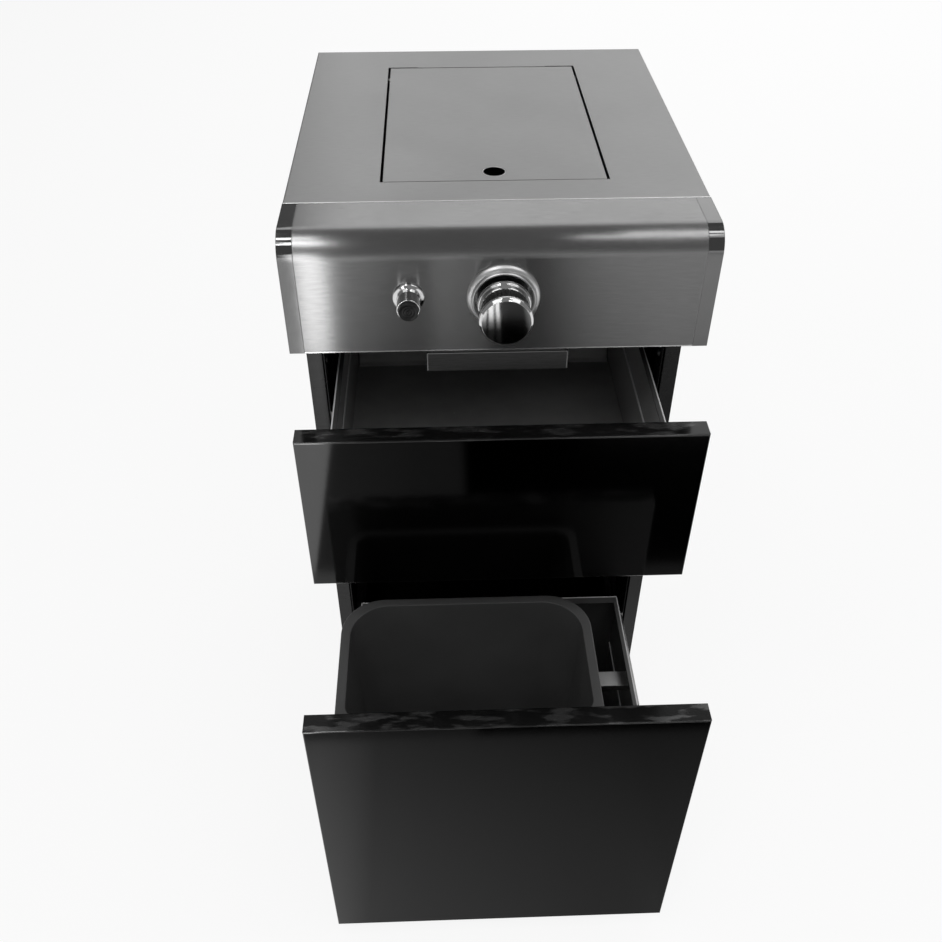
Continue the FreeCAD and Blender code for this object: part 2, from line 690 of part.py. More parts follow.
def burner_well():
    """Pressed pan under the worktop, with a rim against its underside and holes for what rises in it."""
    under = TOP - WORKTOP_SHEET
    outside = well_shell(0, under)
    rim_outline = well_shell(-WELL_RIM, under)
    rim_z = (under - WELL_SHEET, under)
    rim = rim_outline.common(block((-HALF_WIDTH, HALF_WIDTH), (0, WORKTOP_DEPTH), rim_z))
    pan = join([outside, rim]).cut(well_shell(WELL_SHEET, TOP))
    tube_hole = rod(VENTURI_RADIUS + HOLE_CLEARANCE, burner_point(-OVERRUN), burner_point(OVERRUN))
    hole_radius = ELECTRODE_RADIUS + HOLE_CLEARANCE
    electrode_hole = rod(hole_radius, electrode_point(-OVERRUN), electrode_point(OVERRUN))
    return pan.cut([tube_hole, electrode_hole])


def burner_point(height):
    """Point on the burner's axis at a height above the well's floor."""
    return Vec(0, BURNER_Y, WELL_FLOOR + height)


def electrode_point(height):
    """Point on the spark electrode's axis, beside the burner."""
    return Vec(-BURNER_RADIUS - ELECTRODE_OUT, BURNER_Y, WELL_FLOOR + height)


def burner_base():
    """Cast cup on the well's floor, with a bore for the mixing tube."""
    inner = BURNER_RADIUS - BURNER_WALL
    bore = VENTURI_RADIUS + SHAFT_CLEARANCE
    profile = [
        (bore, 0), (BURNER_RADIUS + BURNER_WALL, 0), (BURNER_RADIUS + BURNER_WALL, BURNER_WALL),
        (BURNER_RADIUS, BURNER_WALL), (BURNER_RADIUS, BURNER_BASE_HEIGHT), (inner, BURNER_BASE_HEIGHT),
        (inner, BURNER_WALL), (bore, BURNER_WALL),
    ]
    return turned(profile, burner_point(0), AXIS_Z)


def burner_head():
    """Ring on the cup with flame ports cut round its top edge."""
    inner = BURNER_RADIUS - BURNER_WALL
    height = BURNER_HEAD_HEIGHT
    profile = [(inner, 0), (BURNER_RADIUS, 0), (BURNER_RADIUS, height), (inner, height)]
    ring = turned(profile, burner_point(BURNER_BASE_HEIGHT), AXIS_Z)
    top = WELL_FLOOR + BURNER_BASE_HEIGHT + height
    across = (BURNER_Y - PORT_WIDTH / 2, BURNER_Y + PORT_WIDTH / 2)
    ports = []
    for index in range(BURNER_PORTS):
        port = block((0, BURNER_RADIUS + OVERRUN), across, (top - height / 2, top + OVERRUN))
        port.rotate(burner_point(0), AXIS_Z, 360 * index / BURNER_PORTS)
        ports.append(port)
    return ring.cut(ports)


def burner_cap():
    """Low domed cap over the ports."""
    radius = BURNER_RADIUS + BURNER_WALL / 2
    height = BURNER_CAP_HEIGHT
    edge = height / 2
    profile = [(0, 0), (radius, 0), (radius, edge), (radius - edge, height), (0, height)]
    return turned(profile, burner_point(BURNER_BASE_HEIGHT + BURNER_HEAD_HEIGHT), AXIS_Z)


def pan_support():
    """Cast grate: a ring carried by four legs, with fingers that reach in over the burner."""
    top = WELL_DEPTH - GRATE_TOP_GAP
    ring_low = top - 2 * GRATE_BAR
    half = GRATE_BAR / 2
    ring_profile = [
        (GRATE_RADIUS - half, ring_low), (GRATE_RADIUS + half, ring_low),
        (GRATE_RADIUS + half, ring_low + GRATE_BAR), (GRATE_RADIUS - half, ring_low + GRATE_BAR),
    ]
    pieces = [turned(ring_profile, burner_point(0), AXIS_Z)]
    outer = GRATE_RADIUS + GRATE_BAR
    across = (BURNER_Y - half, BURNER_Y + half)
    for index in range(GRATE_FINGERS):
        finger = block((GRATE_FINGER_END, outer), across, (WELL_FLOOR + ring_low + half, WELL_FLOOR + top))
        leg = block((outer - 2 * GRATE_BAR, outer), across, (WELL_FLOOR, WELL_FLOOR + top))
        for bar in (finger, leg):
            bar.rotate(burner_point(0), AXIS_Z, GRATE_TURN + 360 * index / GRATE_FINGERS)
            pieces.append(bar)
    return join(pieces)


def venturi_tube():
    """Mixing tube: a bell mouth round the jet, a run under the well and a riser into the burner."""
    front = VALVE_BACK + JET_LENGTH - JET_OVERLAP
    elbow = Vec(0, BURNER_Y, GAS_Z)
    mouth = Vec(0, front, GAS_Z)

    def form(inset, mouth_extra, riser_extra):
        throat = Vec(0, front + BELL_LENGTH - inset, GAS_Z)
        bell = rod(BELL_RADIUS - inset, Vec(0, front - mouth_extra, GAS_Z), throat)
        run = rod(VENTURI_RADIUS - inset, mouth, elbow)
        bend = Part.makeSphere(VENTURI_RADIUS - inset, elbow)
        riser = rod(VENTURI_RADIUS - inset, elbow, burner_point(BURNER_WALL + riser_extra))
        return join([bell, run, bend, riser])

    solid = form(0, 0, 0).cut(form(VENTURI_WALL, OVERRUN, OVERRUN))
    window_y = (front + AIR_WINDOW_START, front + AIR_WINDOW_START + AIR_WINDOW_LENGTH)
    window_z = (GAS_Z - AIR_WINDOW_HEIGHT / 2, GAS_Z + AIR_WINDOW_HEIGHT / 2)
    return solid.cut(block((-2 * BELL_RADIUS, 2 * BELL_RADIUS), window_y, window_z))


def gas_jet():
    """Brass jet in the back of the valve, pointing into the mixing tube."""
    profile = [
        (JET_BORE, 0), (JET_RADIUS, 0), (JET_RADIUS, JET_SHOULDER), (JET_TIP_RADIUS, JET_LENGTH),
        (JET_BORE, JET_LENGTH),
    ]
    return turned(profile, Vec(0, VALVE_BACK, GAS_Z), AXIS_Y)


def gas_valve():
    """Valve block on the back of the control panel, bored for the spindle, with an inlet boss at right."""
    half = VALVE_WIDTH / 2
    low = min(KNOB_Z, GAS_Z) - half
    high = max(KNOB_Z, GAS_Z) + half
    right = max(KNOB_X, 0) + half
    left = min(KNOB_X, 0) - half
    body = block((left, right), (VALVE_FRONT, VALVE_BACK), (low, high))
    boss = rod(VALVE_BOSS, Vec(KNOB_X, PANEL_INSIDE, KNOB_Z), Vec(KNOB_X, VALVE_FRONT, KNOB_Z))
    inlet_start = Vec(right, valve_inlet_y(), GAS_Z)
    inlet = rod(PIPE_RADIUS + PIPE_SLEEVE, inlet_start, inlet_start.add(Vec(VALVE_BOSS, 0, 0)))
    bore_end = PANEL_INSIDE + SPINDLE_DEPTH + KNOB_PUSH + CLEARANCE
    bore_radius = SPINDLE_RADIUS + SHAFT_CLEARANCE
    bore = rod(bore_radius, Vec(KNOB_X, PANEL_FACE, KNOB_Z), Vec(KNOB_X, bore_end, KNOB_Z))
    return join([body, boss, inlet]).cut(bore)


def valve_inlet_y():
    return VALVE_FRONT + VALVE_LENGTH / 2


def gas_pipe():
    """Pipe from the valve's inlet boss to the inlet fitting in the back panel."""
    start = max(KNOB_X, 0) + VALVE_WIDTH / 2 + VALVE_BOSS
    points = [
        Vec(start, valve_inlet_y(), GAS_Z), Vec(PIPE_X, valve_inlet_y(), GAS_Z),
        Vec(PIPE_X, BACK_FACE - NUT_HEIGHT * 2, GAS_Z),
    ]
    return bent_tube(points, PIPE_BEND, PIPE_RADIUS, PIPE_RADIUS - PIPE_WALL)


def gas_inlet():
    """Bulkhead fitting: a nut and collar on both faces of the back panel, and a stub for the hose."""
    inside = 2 * NUT_HEIGHT
    nut = INLET_RADIUS + INLET_COLLAR
    stub_end = 2 * BODY_SHEET + INLET_LENGTH
    profile = [
        (INLET_BORE, -inside), (nut, -inside), (nut, 0), (INLET_RADIUS, 0), (INLET_RADIUS, BODY_SHEET),
        (nut, BODY_SHEET), (nut, BODY_SHEET + NUT_HEIGHT / 2), (INLET_RADIUS, BODY_SHEET + NUT_HEIGHT / 2),
        (INLET_RADIUS, stub_end), (INLET_BORE, stub_end),
    ]
    return turned(profile, Vec(PIPE_X, BACK_FACE, GAS_Z), AXIS_Y)


def electrode_insulator():
    """Ceramic sleeve of the spark electrode, held in the well's floor."""
    high = BURNER_BASE_HEIGHT + BURNER_HEAD_HEIGHT / 2
    sleeve = rod(ELECTRODE_RADIUS, electrode_point(-ELECTRODE_BELOW), electrode_point(high))
    return sleeve.cut(rod(ELECTRODE_ROD, electrode_point(-ELECTRODE_TAIL), electrode_point(high + OVERRUN)))


def electrode_rod():
    """Wire through the sleeve, which stands beside the flame ports."""
    high = BURNER_BASE_HEIGHT + BURNER_HEAD_HEIGHT + BURNER_CAP_HEIGHT / 2
    return rod(ELECTRODE_ROD, electrode_point(-ELECTRODE_TAIL), electrode_point(high))


def ignition_lead():
    """Insulated lead from the igniter's back end to the electrode under the well."""
    start = Vec(IGNITER_X, PANEL_FACE + PIEZO_LENGTH, IGNITER_Z)
    low = electrode_point(-ELECTRODE_TAIL)
    foot = electrode_point(-LEAD_DROP)
    turn_y = CUTOUT_FRONT
    points = [start, Vec(IGNITER_X, turn_y, IGNITER_Z), Vec(foot.x, BURNER_Y - turn_y, foot.z), foot, low]
    return bent_tube(points, LEAD_BEND, LEAD_RADIUS, 0)


# Knob and igniter

def knob_bezel():
    """Raised ring on the control panel round the knob."""
    wide = BEZEL_RADIUS
    lip = SKIRT_RADIUS + BEZEL_LIP_GAP
    lip_top = lip + BEZEL_LIP_WIDTH
    profile = [
        (lip, 0), (wide, 0), (wide, BEZEL_EDGE), (wide - BEZEL_SHOULDER_WIDTH, BEZEL_SHOULDER),
        (lip_top + BEZEL_LIP_SLOPE, BEZEL_LIP_FOOT), (lip_top, BEZEL_HEIGHT), (lip, BEZEL_HEIGHT),
    ]
    return turned(profile, knob_point(0), OUTWARDS)


def knob_point(height):
    """Point on the knob's axis at a height out from the panel's face."""
    return Vec(KNOB_X, PANEL_FACE - height, KNOB_Z)


def valve_spindle():
    """Spindle that slides in the valve and carries the knob."""
    inner = Vec(KNOB_X, PANEL_INSIDE + SPINDLE_DEPTH, KNOB_Z)
    return rod(SPINDLE_RADIUS, inner, knob_point(SKIRT_BASE_GAP + SKIRT_LENGTH + GRIP_LENGTH))


def knob_skirt():
    """Chrome cone at the knob's base."""
    bore = SPINDLE_RADIUS + SHAFT_CLEARANCE
    start = SKIRT_BASE_GAP
    profile = [
        (bore, start), (SKIRT_RADIUS - SKIRT_ROUND, start), (SKIRT_RADIUS, start + SKIRT_EDGE),
        (GRIP_RADIUS, start + SKIRT_LENGTH), (bore, start + SKIRT_LENGTH),
    ]
    return turned(profile, knob_point(0), OUTWARDS)


def knob_grip():
    """Dark band with ribs round it."""
    bore = SPINDLE_RADIUS + SHAFT_CLEARANCE
    start = SKIRT_BASE_GAP + SKIRT_LENGTH
    end = start + GRIP_LENGTH
    profile = [(bore, start), (GRIP_RADIUS, start), (GRIP_RADIUS, end), (bore, end)]
    band = turned(profile, knob_point(0), OUTWARDS)
    across = (KNOB_X - GROOVE_WIDTH / 2, KNOB_X + GROOVE_WIDTH / 2)
    along = (PANEL_FACE - end, PANEL_FACE - start)
    rim = KNOB_Z + GRIP_RADIUS
    grooves = []
    for index in range(GRIP_RIBS):
        groove = block(across, along, (rim - GROOVE_DEPTH, rim + OVERRUN))
        groove.rotate(knob_point(0), AXIS_Y, 360 * index / GRIP_RIBS)
        grooves.append(groove)
    return band.cut(grooves)


def knob_cap():
    """Polished front of the knob: a bevelled disc with a shallow dished face."""
    start = SKIRT_BASE_GAP + SKIRT_LENGTH + GRIP_LENGTH + CLEARANCE
    rim = KNOB_RADIUS - CAP_BEVEL
    dish = KNOB_REACH - CAP_DISH
    profile = [
        (0, start), (GRIP_RADIUS, start), (KNOB_RADIUS, start + CAP_EDGE),
        (KNOB_RADIUS, KNOB_REACH - CAP_BEVEL), (rim, KNOB_REACH), (rim - CAP_EDGE, dish), (0, dish),
    ]
    return turned(profile, knob_point(0), OUTWARDS)


def igniter_point(height):
    """Point on the igniter's axis at a height out from the panel's face."""
    return Vec(IGNITER_X, PANEL_FACE - height, IGNITER_Z)


def igniter_body():
    """Spark igniter: a flanged collar on the panel's face and a round barrel behind it."""
    bore = BUTTON_RADIUS + CLEARANCE
    guide = PLUNGER_RADIUS + SHAFT_CLEARANCE
    bottom = IGNITER_REACH - BUTTON_LENGTH - IGNITER_PUSH - CLEARANCE
    collar_end = IGNITER_FLANGE + COLLAR_LENGTH
    guide_end = IGNITER_REACH - BUTTON_LENGTH - PLUNGER_LENGTH - IGNITER_PUSH - PLUNGER_ROOM
    profile = [
        (0, -PIEZO_LENGTH), (PIEZO_RADIUS, -PIEZO_LENGTH), (PIEZO_RADIUS, 0), (IGNITER_RADIUS, 0),
        (IGNITER_RADIUS, IGNITER_FLANGE), (COLLAR_RADIUS, IGNITER_FLANGE), (COLLAR_RADIUS, collar_end),
        (bore, collar_end), (bore, bottom), (guide, bottom), (guide, guide_end), (0, guide_end),
    ]
    return turned(profile, igniter_point(0), OUTWARDS)


def igniter_nut():
    """Ring nut that holds the igniter against the back of the panel."""
    inner = PIEZO_RADIUS + SHAFT_CLEARANCE
    end = -WORKTOP_SHEET
    start = end - NUT_HEIGHT
    profile = [(inner, start), (IGNITER_RADIUS, start), (IGNITER_RADIUS, end), (inner, end)]
    return turned(profile, igniter_point(0), OUTWARDS)


def igniter_button():
    """Push button with a guide plunger behind it."""
    back = IGNITER_REACH - BUTTON_LENGTH
    profile = [
        (0, back - PLUNGER_LENGTH), (PLUNGER_RADIUS, back - PLUNGER_LENGTH), (PLUNGER_RADIUS, back),
        (BUTTON_RADIUS, back), (BUTTON_RADIUS, IGNITER_REACH - BUTTON_BEVEL),
        (BUTTON_RADIUS - BUTTON_BEVEL, IGNITER_REACH), (0, IGNITER_REACH),
    ]
    return turned(profile, igniter_point(0), OUTWARDS)


# Drip tray

def tray_level():
    """Underside of the tray's side flanges, just above the rails' shelves."""
    return PANEL_BOTTOM - TRAY_RAIL_HEIGHT + BODY_SHEET + CLEARANCE


def tray_rail():
    """Right-hand angle rail from the apron's flange to the back panel."""
    inner = TRAY_WIDTH / 2 + CLEARANCE
    outer = TRAY_WIDTH / 2 + TRAY_FLANGE + CLEARANCE
    length = (2 * BODY_SHEET, BACK_FACE)
    low = PANEL_BOTTOM - TRAY_RAIL_HEIGHT
    leg = block((outer, outer + BODY_SHEET), length, (low, PANEL_BOTTOM))
    shelf = block((inner, outer + BODY_SHEET), length, (low, low + BODY_SHEET))
    return join([leg, shelf])


def drip_tray():
    """Shallow pan with side flanges that slide on the rails."""
    half = TRAY_WIDTH / 2
    level = tray_level()
    length = (pull_back(), pull_back() + TRAY_LENGTH)
    pan = tray((-half, half), length, (level + DRAWER_SHEET - TRAY_DEPTH, level + DRAWER_SHEET), DRAWER_SHEET)
    flange_x = (half - DRAWER_SHEET, half + TRAY_FLANGE)
    flange_y = (BODY_SHEET, length[1])
    flange = block(flange_x, flange_y, (level, level + DRAWER_SHEET))
    return join([pan, flange, mirrored(flange)])


def pull_back():
    """Back face of the pull plate, under the control panel."""
    return PANEL_FACE + PULL_SETBACK + BODY_SHEET


def tray_pull():
    """Plate on the tray's front, folded back at both ends."""
    half = PULL_WIDTH / 2
    top = PANEL_BOTTOM - PULL_TOP_GAP
    bottom = UPPER_FRONT_TOP + PULL_BOTTOM_GAP
    face = pull_back() - BODY_SHEET
    plate = block((-half, half), (face, pull_back()), (bottom, top))
    end = block((half - BODY_SHEET, half), (face, face + PULL_RETURN), (bottom, top))
    return join([plate, end, mirrored(end)])


# Slides

def slide_rails(level, length, pulled):
    """Right-hand cabinet, middle and drawer rails of one slide, nested with a running clearance."""
    half = SLIDE_HEIGHT / 2
    step = RAIL_SHEET + CLEARANCE
    start = -CLOSED_GAP + FRONT_POST_Y

    def channel(x, web, tall, y):
        """Channel whose web fills the x limits given as web and whose flanges fill x."""
        solid = block(x, y, (level - tall, level + tall))
        inside_x = (x[0] - OVERRUN, web[0]) if web[1] == x[1] else (web[1], x[1] + OVERRUN)
        return solid.cut(block(inside_x, y, (level - tall + RAIL_SHEET, level + tall - RAIL_SHEET)))

    cabinet_x = (BOX_HALF + RAIL_FLANGE_GAP, POST_FACE)
    cabinet = channel(cabinet_x, (POST_FACE - RAIL_SHEET, POST_FACE), half, (start, start + length))
    middle_x = (BOX_HALF + RAIL_FLANGE_GAP, POST_FACE - step)
    middle_y = (start - pulled / 2, start - pulled / 2 + length)
    middle = channel(middle_x, (POST_FACE - step - RAIL_SHEET, POST_FACE - step), half - step, middle_y)
    drawer_x = (BOX_HALF, POST_FACE - 2 * step)
    drawer_y = (start - pulled, start - pulled + length)
    drawer = channel(drawer_x, (BOX_HALF, BOX_HALF + RAIL_SHEET), half - 2 * step, drawer_y)
    return cabinet, middle, drawer


# Drawers and bin

def drawer_front(face, bottom, top):
    """Folded skin of a drawer front, open at the back."""
    outside = block((-BODY_HALF, BODY_HALF), (face - FRONT_THICKNESS, face), (bottom, top))
    front_edges = [edge for edge in outside.Edges if abs(edge.CenterOfMass.y - face + FRONT_THICKNESS) < TINY]
    outside = outside.makeFillet(FOLD_RADIUS, front_edges)
    inside_x = BODY_HALF - FRONT_SHEET
    inside_y = (face - FRONT_THICKNESS + FRONT_SHEET, face + OVERRUN)
    return outside.cut(block((-inside_x, inside_x), inside_y, (bottom + FRONT_SHEET, top - FRONT_SHEET)))


def drawer_liner(face, bottom, top, seats):
    """Flat sheet that closes a drawer front from behind."""
    half = BODY_HALF - FRONT_SHEET
    sheet = block((-half, half), (face - FRONT_SHEET, face), (bottom + FRONT_SHEET, top - FRONT_SHEET))
    return drilled(sheet, seats)


def drawer_box(face, length, bottom, top, seats):
    """Box behind a drawer front, of welded sheets: a floor, a front wall, and side and back walls with top folds."""
    half = BOX_HALF
    inside = half - DRAWER_SHEET
    end = face + length
    inner_y = (face + DRAWER_SHEET, end - DRAWER_SHEET)
    back_fold = end - 2 * BOX_RETURN
    wall_z = (bottom + DRAWER_SHEET, top)
    fold_z = (top - DRAWER_SHEET, top)
    floor = block((-half, half), (face, end), (bottom, wall_z[0]))
    front = drilled(block((-half, half), (face, inner_y[0]), wall_z), seats)
    side_fold = block((half - BOX_RETURN, half), (inner_y[0], back_fold), fold_z)
    side = join([block((inside, half), inner_y, wall_z), side_fold])
    back_wall = block((-half, half), (inner_y[1], end), wall_z)
    back = join([back_wall, block((-inside, inside), (back_fold, end), fold_z)])
    return Part.makeCompound([floor, front, side, mirrored(side), back])


def bin_section(height, inset):
    """Outline of the tapered bin at a height above its base, moved in by an inset."""
    share = 1 - height / (BIN_TOP - BIN_BOTTOM)
    margin = BIN_RIM + BIN_TAPER * share + inset
    x = (BIN_LEFT + margin, BIN_LEFT + BIN_WIDTH - margin)
    y = (BIN_FRONT + margin, BIN_FRONT + BIN_DEPTH - margin)
    return rounded_rectangle(x, y, BIN_BOTTOM + height, BIN_CORNER - margin / 2)


def waste_bin():
    """Tapered plastic bin with a flat rim and a turned-down lip."""
    tall = BIN_TOP - BIN_BOTTOM
    outside = Part.makeLoft([bin_section(0, 0), bin_section(tall, 0)], True)
    inside = Part.makeLoft([bin_section(BIN_WALL, BIN_WALL), bin_section(tall, BIN_WALL)], True)
    rim_x = (BIN_LEFT, BIN_LEFT + BIN_WIDTH)
    rim_y = (BIN_FRONT, BIN_FRONT + BIN_DEPTH)
    lip_outline = Part.Face(rounded_rectangle(rim_x, rim_y, BIN_TOP - BIN_LIP, BIN_CORNER))
    lip = lip_outline.extrude(Vec(0, 0, BIN_LIP))
    lip_x = (rim_x[0] + BIN_WALL, rim_x[1] - BIN_WALL)
    lip_y = (rim_y[0] + BIN_WALL, rim_y[1] - BIN_WALL)
    hollow_outline = Part.Face(rounded_rectangle(lip_x, lip_y, BIN_TOP - BIN_LIP, BIN_CORNER - BIN_WALL))
    lip = lip.cut(hollow_outline.extrude(Vec(0, 0, BIN_LIP - BIN_WALL)))
    return join([outside, lip]).cut(inside)


def bin_crossbar():
    """Folded bar across the lower box, behind the bin."""
    half = BOX_HALF - DRAWER_SHEET
    front = BIN_FRONT + BIN_DEPTH - BIN_RIM / 2
    top = LOWER_BOX_TOP - CROSSBAR_DROP
    flat = block((-half, half), (front, front + CROSSBAR_WIDTH), (top - WORKTOP_SHEET, top))
    fold = block((-half, half), (front, front + WORKTOP_SHEET), (top - CROSSBAR_FOLD, top))
    end = block((half - WORKTOP_SHEET, half), (front, front + CROSSBAR_WIDTH), (top - CROSSBAR_FOLD, top))
    return join([flat, fold, end, mirrored(end)])


# The whole part

def cabinet_nodes():
    right_side = side_panel()
    right_cap = panel_end_cap()
    right_rail = tray_rail()
    right_posts = slide_posts()
    pins = lid_pins()
    return {
        "left_side_panel": mirrored(right_side),
        "right_side_panel": right_side,
        "back_panel": back_panel(),
        "bottom_panel": bottom_panel(),
        "front_cross_rail": front_cross_rail(),
        "front_apron": apron(),
        "left_slide_posts": Part.makeCompound([mirrored(post) for post in right_posts]),
        "right_slide_posts": Part.makeCompound(right_posts),
        "worktop": worktop(),
        "lid_pins": Part.makeCompound(pins + [mirrored(pin) for pin in pins]),
        "control_panel": control_panel(),
        "left_panel_end_cap": mirrored(right_cap),
        "right_panel_end_cap": right_cap,
        "panel_floor": panel_floor(),
        "burner_well": burner_well(),
        "burner_base": burner_base(),
        "burner_head": burner_head(),
        "burner_cap": burner_cap(),
        "pan_support": pan_support(),
        "venturi_tube": venturi_tube(),
        "gas_valve": gas_valve(),
        "gas_jet": gas_jet(),
        "gas_pipe": gas_pipe(),
        "gas_inlet_fitting": gas_inlet(),
        "electrode_insulator": electrode_insulator(),
        "electrode_rod": electrode_rod(),
        "ignition_lead": ignition_lead(),
        "knob_bezel": knob_bezel(),
        "igniter_body": igniter_body(),
        "igniter_nut": igniter_nut(),
        "left_tray_rail": mirrored(right_rail),
        "right_tray_rail": right_rail,
        "foot_studs": foot_studs(),
        "foot_pads": foot_pads(),
        "post_screws": screws(post_screw_seats()),
        "back_panel_screws": screws(back_screw_seats()),
    }


def control_nodes():
    return {
        "burner_lid": lid(),
        "valve_spindle": valve_spindle(),
        "knob_skirt": knob_skirt(),
        "knob_grip": knob_grip(),
        "knob_cap": knob_cap(),
        "igniter_button": igniter_button(),
        "drip_tray": drip_tray(),
        "tray_pull": tray_pull(),
    }


def drawer_nodes(name, face, pulled, front_z, box_length, box_z, slide_level):
    """Front, liner, box, screws and slide rails of one drawer."""
    seats = drawer_screw_seats(face, *box_z)
    cabinet, middle, drawer = slide_rails(slide_level, box_length, pulled)
    return {
        name + "_drawer_front": drawer_front(face, *front_z),
        name + "_drawer_liner": drawer_liner(face, *front_z, seats),
        name + "_drawer_box": drawer_box(face, box_length, *box_z, seats),
        name + "_drawer_screws": screws(seats),
        name + "_cabinet_rails": both_sides(cabinet),
        name + "_middle_rails": both_sides(middle),
        name + "_drawer_rails": both_sides(drawer),
    }


def main():
    nodes = cabinet_nodes()
    nodes.update(control_nodes())
    upper_front_z = (UPPER_FRONT_BOTTOM, UPPER_FRONT_TOP)
    upper_box_z = (UPPER_BOX_BOTTOM, UPPER_BOX_TOP)
    nodes.update(drawer_nodes("upper", UPPER_FACE, UPPER_PULL, upper_front_z, UPPER_BOX_LENGTH, upper_box_z,
                              UPPER_BOX_BOTTOM + UPPER_SLIDE_LIFT))
    lower_front_z = (FOOT_HEIGHT, LOWER_FRONT_TOP)
    lower_box_z = (LOWER_BOX_BOTTOM, LOWER_BOX_TOP)
    nodes.update(drawer_nodes("lower", LOWER_FACE, LOWER_PULL, lower_front_z, LOWER_BOX_LENGTH, lower_box_z,
                              LOWER_BOX_BOTTOM + LOWER_SLIDE_LIFT))
    nodes["waste_bin"] = waste_bin()
    nodes["bin_crossbar"] = bin_crossbar()

    foremost = min(shape.BoundBox.YMin for shape in nodes.values())
    hindmost = max(shape.BoundBox.YMax for shape in nodes.values())
    to_origin = Vec(0, -(foremost + hindmost) / 2, 0)
    os.makedirs("parts", exist_ok=True)
    for name, shape in nodes.items():
        shape.translate(to_origin)
        shape.exportStep("parts/" + name + ".step")
    print(len(nodes), "nodes, moved along Y by", round(to_origin.y, 3))


main()
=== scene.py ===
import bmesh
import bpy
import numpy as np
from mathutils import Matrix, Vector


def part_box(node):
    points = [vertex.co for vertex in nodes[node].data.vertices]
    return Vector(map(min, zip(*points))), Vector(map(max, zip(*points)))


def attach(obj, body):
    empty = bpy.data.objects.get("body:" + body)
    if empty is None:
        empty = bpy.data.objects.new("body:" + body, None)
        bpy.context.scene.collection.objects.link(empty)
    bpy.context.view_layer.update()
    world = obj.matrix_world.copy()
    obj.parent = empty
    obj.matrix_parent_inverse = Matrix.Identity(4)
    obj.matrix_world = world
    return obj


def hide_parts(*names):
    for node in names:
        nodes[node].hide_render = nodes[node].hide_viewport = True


# %% [markdown]
# # A side burner cabinet, dressed step by step
# The construction arrives as a finished frame: every sheet, rail, knob and screw is already a mesh
# at its real size, in metres, with the floor at height 0 and the front of the cabinet towards -Y.
# This lesson gives those pieces their finishes, swaps a few plain solids for finer surfaces, and
# sets up a camera and lights. Nothing of the frame is moved.

# %% Load the frame and remember its box
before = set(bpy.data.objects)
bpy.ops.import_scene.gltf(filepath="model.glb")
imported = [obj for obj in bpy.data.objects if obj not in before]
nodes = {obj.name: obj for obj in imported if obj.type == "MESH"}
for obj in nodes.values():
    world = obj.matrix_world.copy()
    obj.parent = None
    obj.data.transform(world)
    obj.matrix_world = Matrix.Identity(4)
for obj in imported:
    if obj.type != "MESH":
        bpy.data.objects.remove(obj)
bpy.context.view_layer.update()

MM = 0.001


def span(name):
    """Lowest corner, highest corner and middle of a node's box, as arrays."""
    low, high = (np.array(corner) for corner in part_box(name))
    return low, high, (low + high) / 2


# %% [markdown]
# ## The camera
# The photograph was taken from a little above the worktop, looking down at about 41 degrees.
# A camera can be aimed with a Track To constraint, but its numbers then hide in the constraint.
# Here three turns are written out instead: tilt up from straight down, a small turn to the right,
# and almost no roll. The lens follows from the picture's focal length in pixels.

# %% Camera
SENSOR = 36.0
FOCAL_PIXELS = 991.23
PICTURE_PIXELS = 942
CAMERA_PLACE = Vector((-0.0626, -1.0280, 1.3797))
LOOKING_DOWN = np.radians(40.974)
TURNED_RIGHT = np.radians(2.063)
ROLL = np.radians(0.057)


def linked(name, data):
    """New object in the scene, made from its mesh, lamp or camera data."""
    made = bpy.data.objects.new(name, data)
    bpy.context.scene.collection.objects.link(made)
    return made


def add_camera():
    """Camera whose axes are the turn about Z, then the tilt about X, then the roll about its own view."""
    data = bpy.data.cameras.new("photo_camera")
    data.sensor_width = SENSOR
    data.lens = SENSOR * FOCAL_PIXELS / PICTURE_PIXELS
    camera = linked("photo_camera", data)
    turn = Matrix.Rotation(-TURNED_RIGHT, 4, "Z")
    tilt = Matrix.Rotation(np.pi / 2 - LOOKING_DOWN, 4, "X")
    roll = Matrix.Rotation(ROLL, 4, "Z")
    camera.matrix_world = Matrix.Translation(CAMERA_PLACE) @ turn @ tilt @ roll
    bpy.context.scene.camera = camera
    return camera


camera = add_camera()
print("lens", round(camera.data.lens, 2), "mm")

# %% [markdown]
# ## Helpers for shader trees
# A finish is a small graph of nodes. Adding nodes by hand takes three lines each: make the node, set
# its options, wire its inputs. These helpers do the three at once, so that a finish reads as a
# list of what it is made of.

# %% Shader helpers
def feed(tree, target, **inputs):
    """Fills a node's inputs, by name or by number as input_0: sockets are wired, the rest are values."""
    for key, value in inputs.items():
        index = int(key.removeprefix("input_")) if key.startswith("input_") else key.replace("_", " ")
        if isinstance(value, bpy.types.NodeSocket):
            tree.links.new(value, target.inputs[index])
        else:
            target.inputs[index].default_value = value


def node(tree, kind, options=None, **inputs):
    """Adds a shader node of a kind, with its options set and its inputs filled."""
    made = tree.nodes.new("ShaderNode" + kind)
    for key, value in (options or {}).items():
        setattr(made, key, value)
    feed(tree, made, **inputs)
    return made


def math(tree, operation, first, second):
    """One step of arithmetic on two sockets or numbers."""
    return node(tree, "Math", {"operation": operation}, input_0=first, input_1=second).outputs["Value"]


def new_material(name):
    """A material with a Principled shader, its tree and its Object coordinates."""
    material = bpy.data.materials.new(name)
    material.use_nodes = True
    tree = material.node_tree
    shader = tree.nodes["Principled BSDF"]
    place = node(tree, "TexCoord").outputs["Object"]
    return material, tree, shader, place


def grey(tone, warmth=0.0):
    """Colour of a near-neutral grey; warmth above 0 lifts red and lowers blue by that share."""
    return (tone * (1 + warmth), tone, tone * (1 - warmth), 1.0)


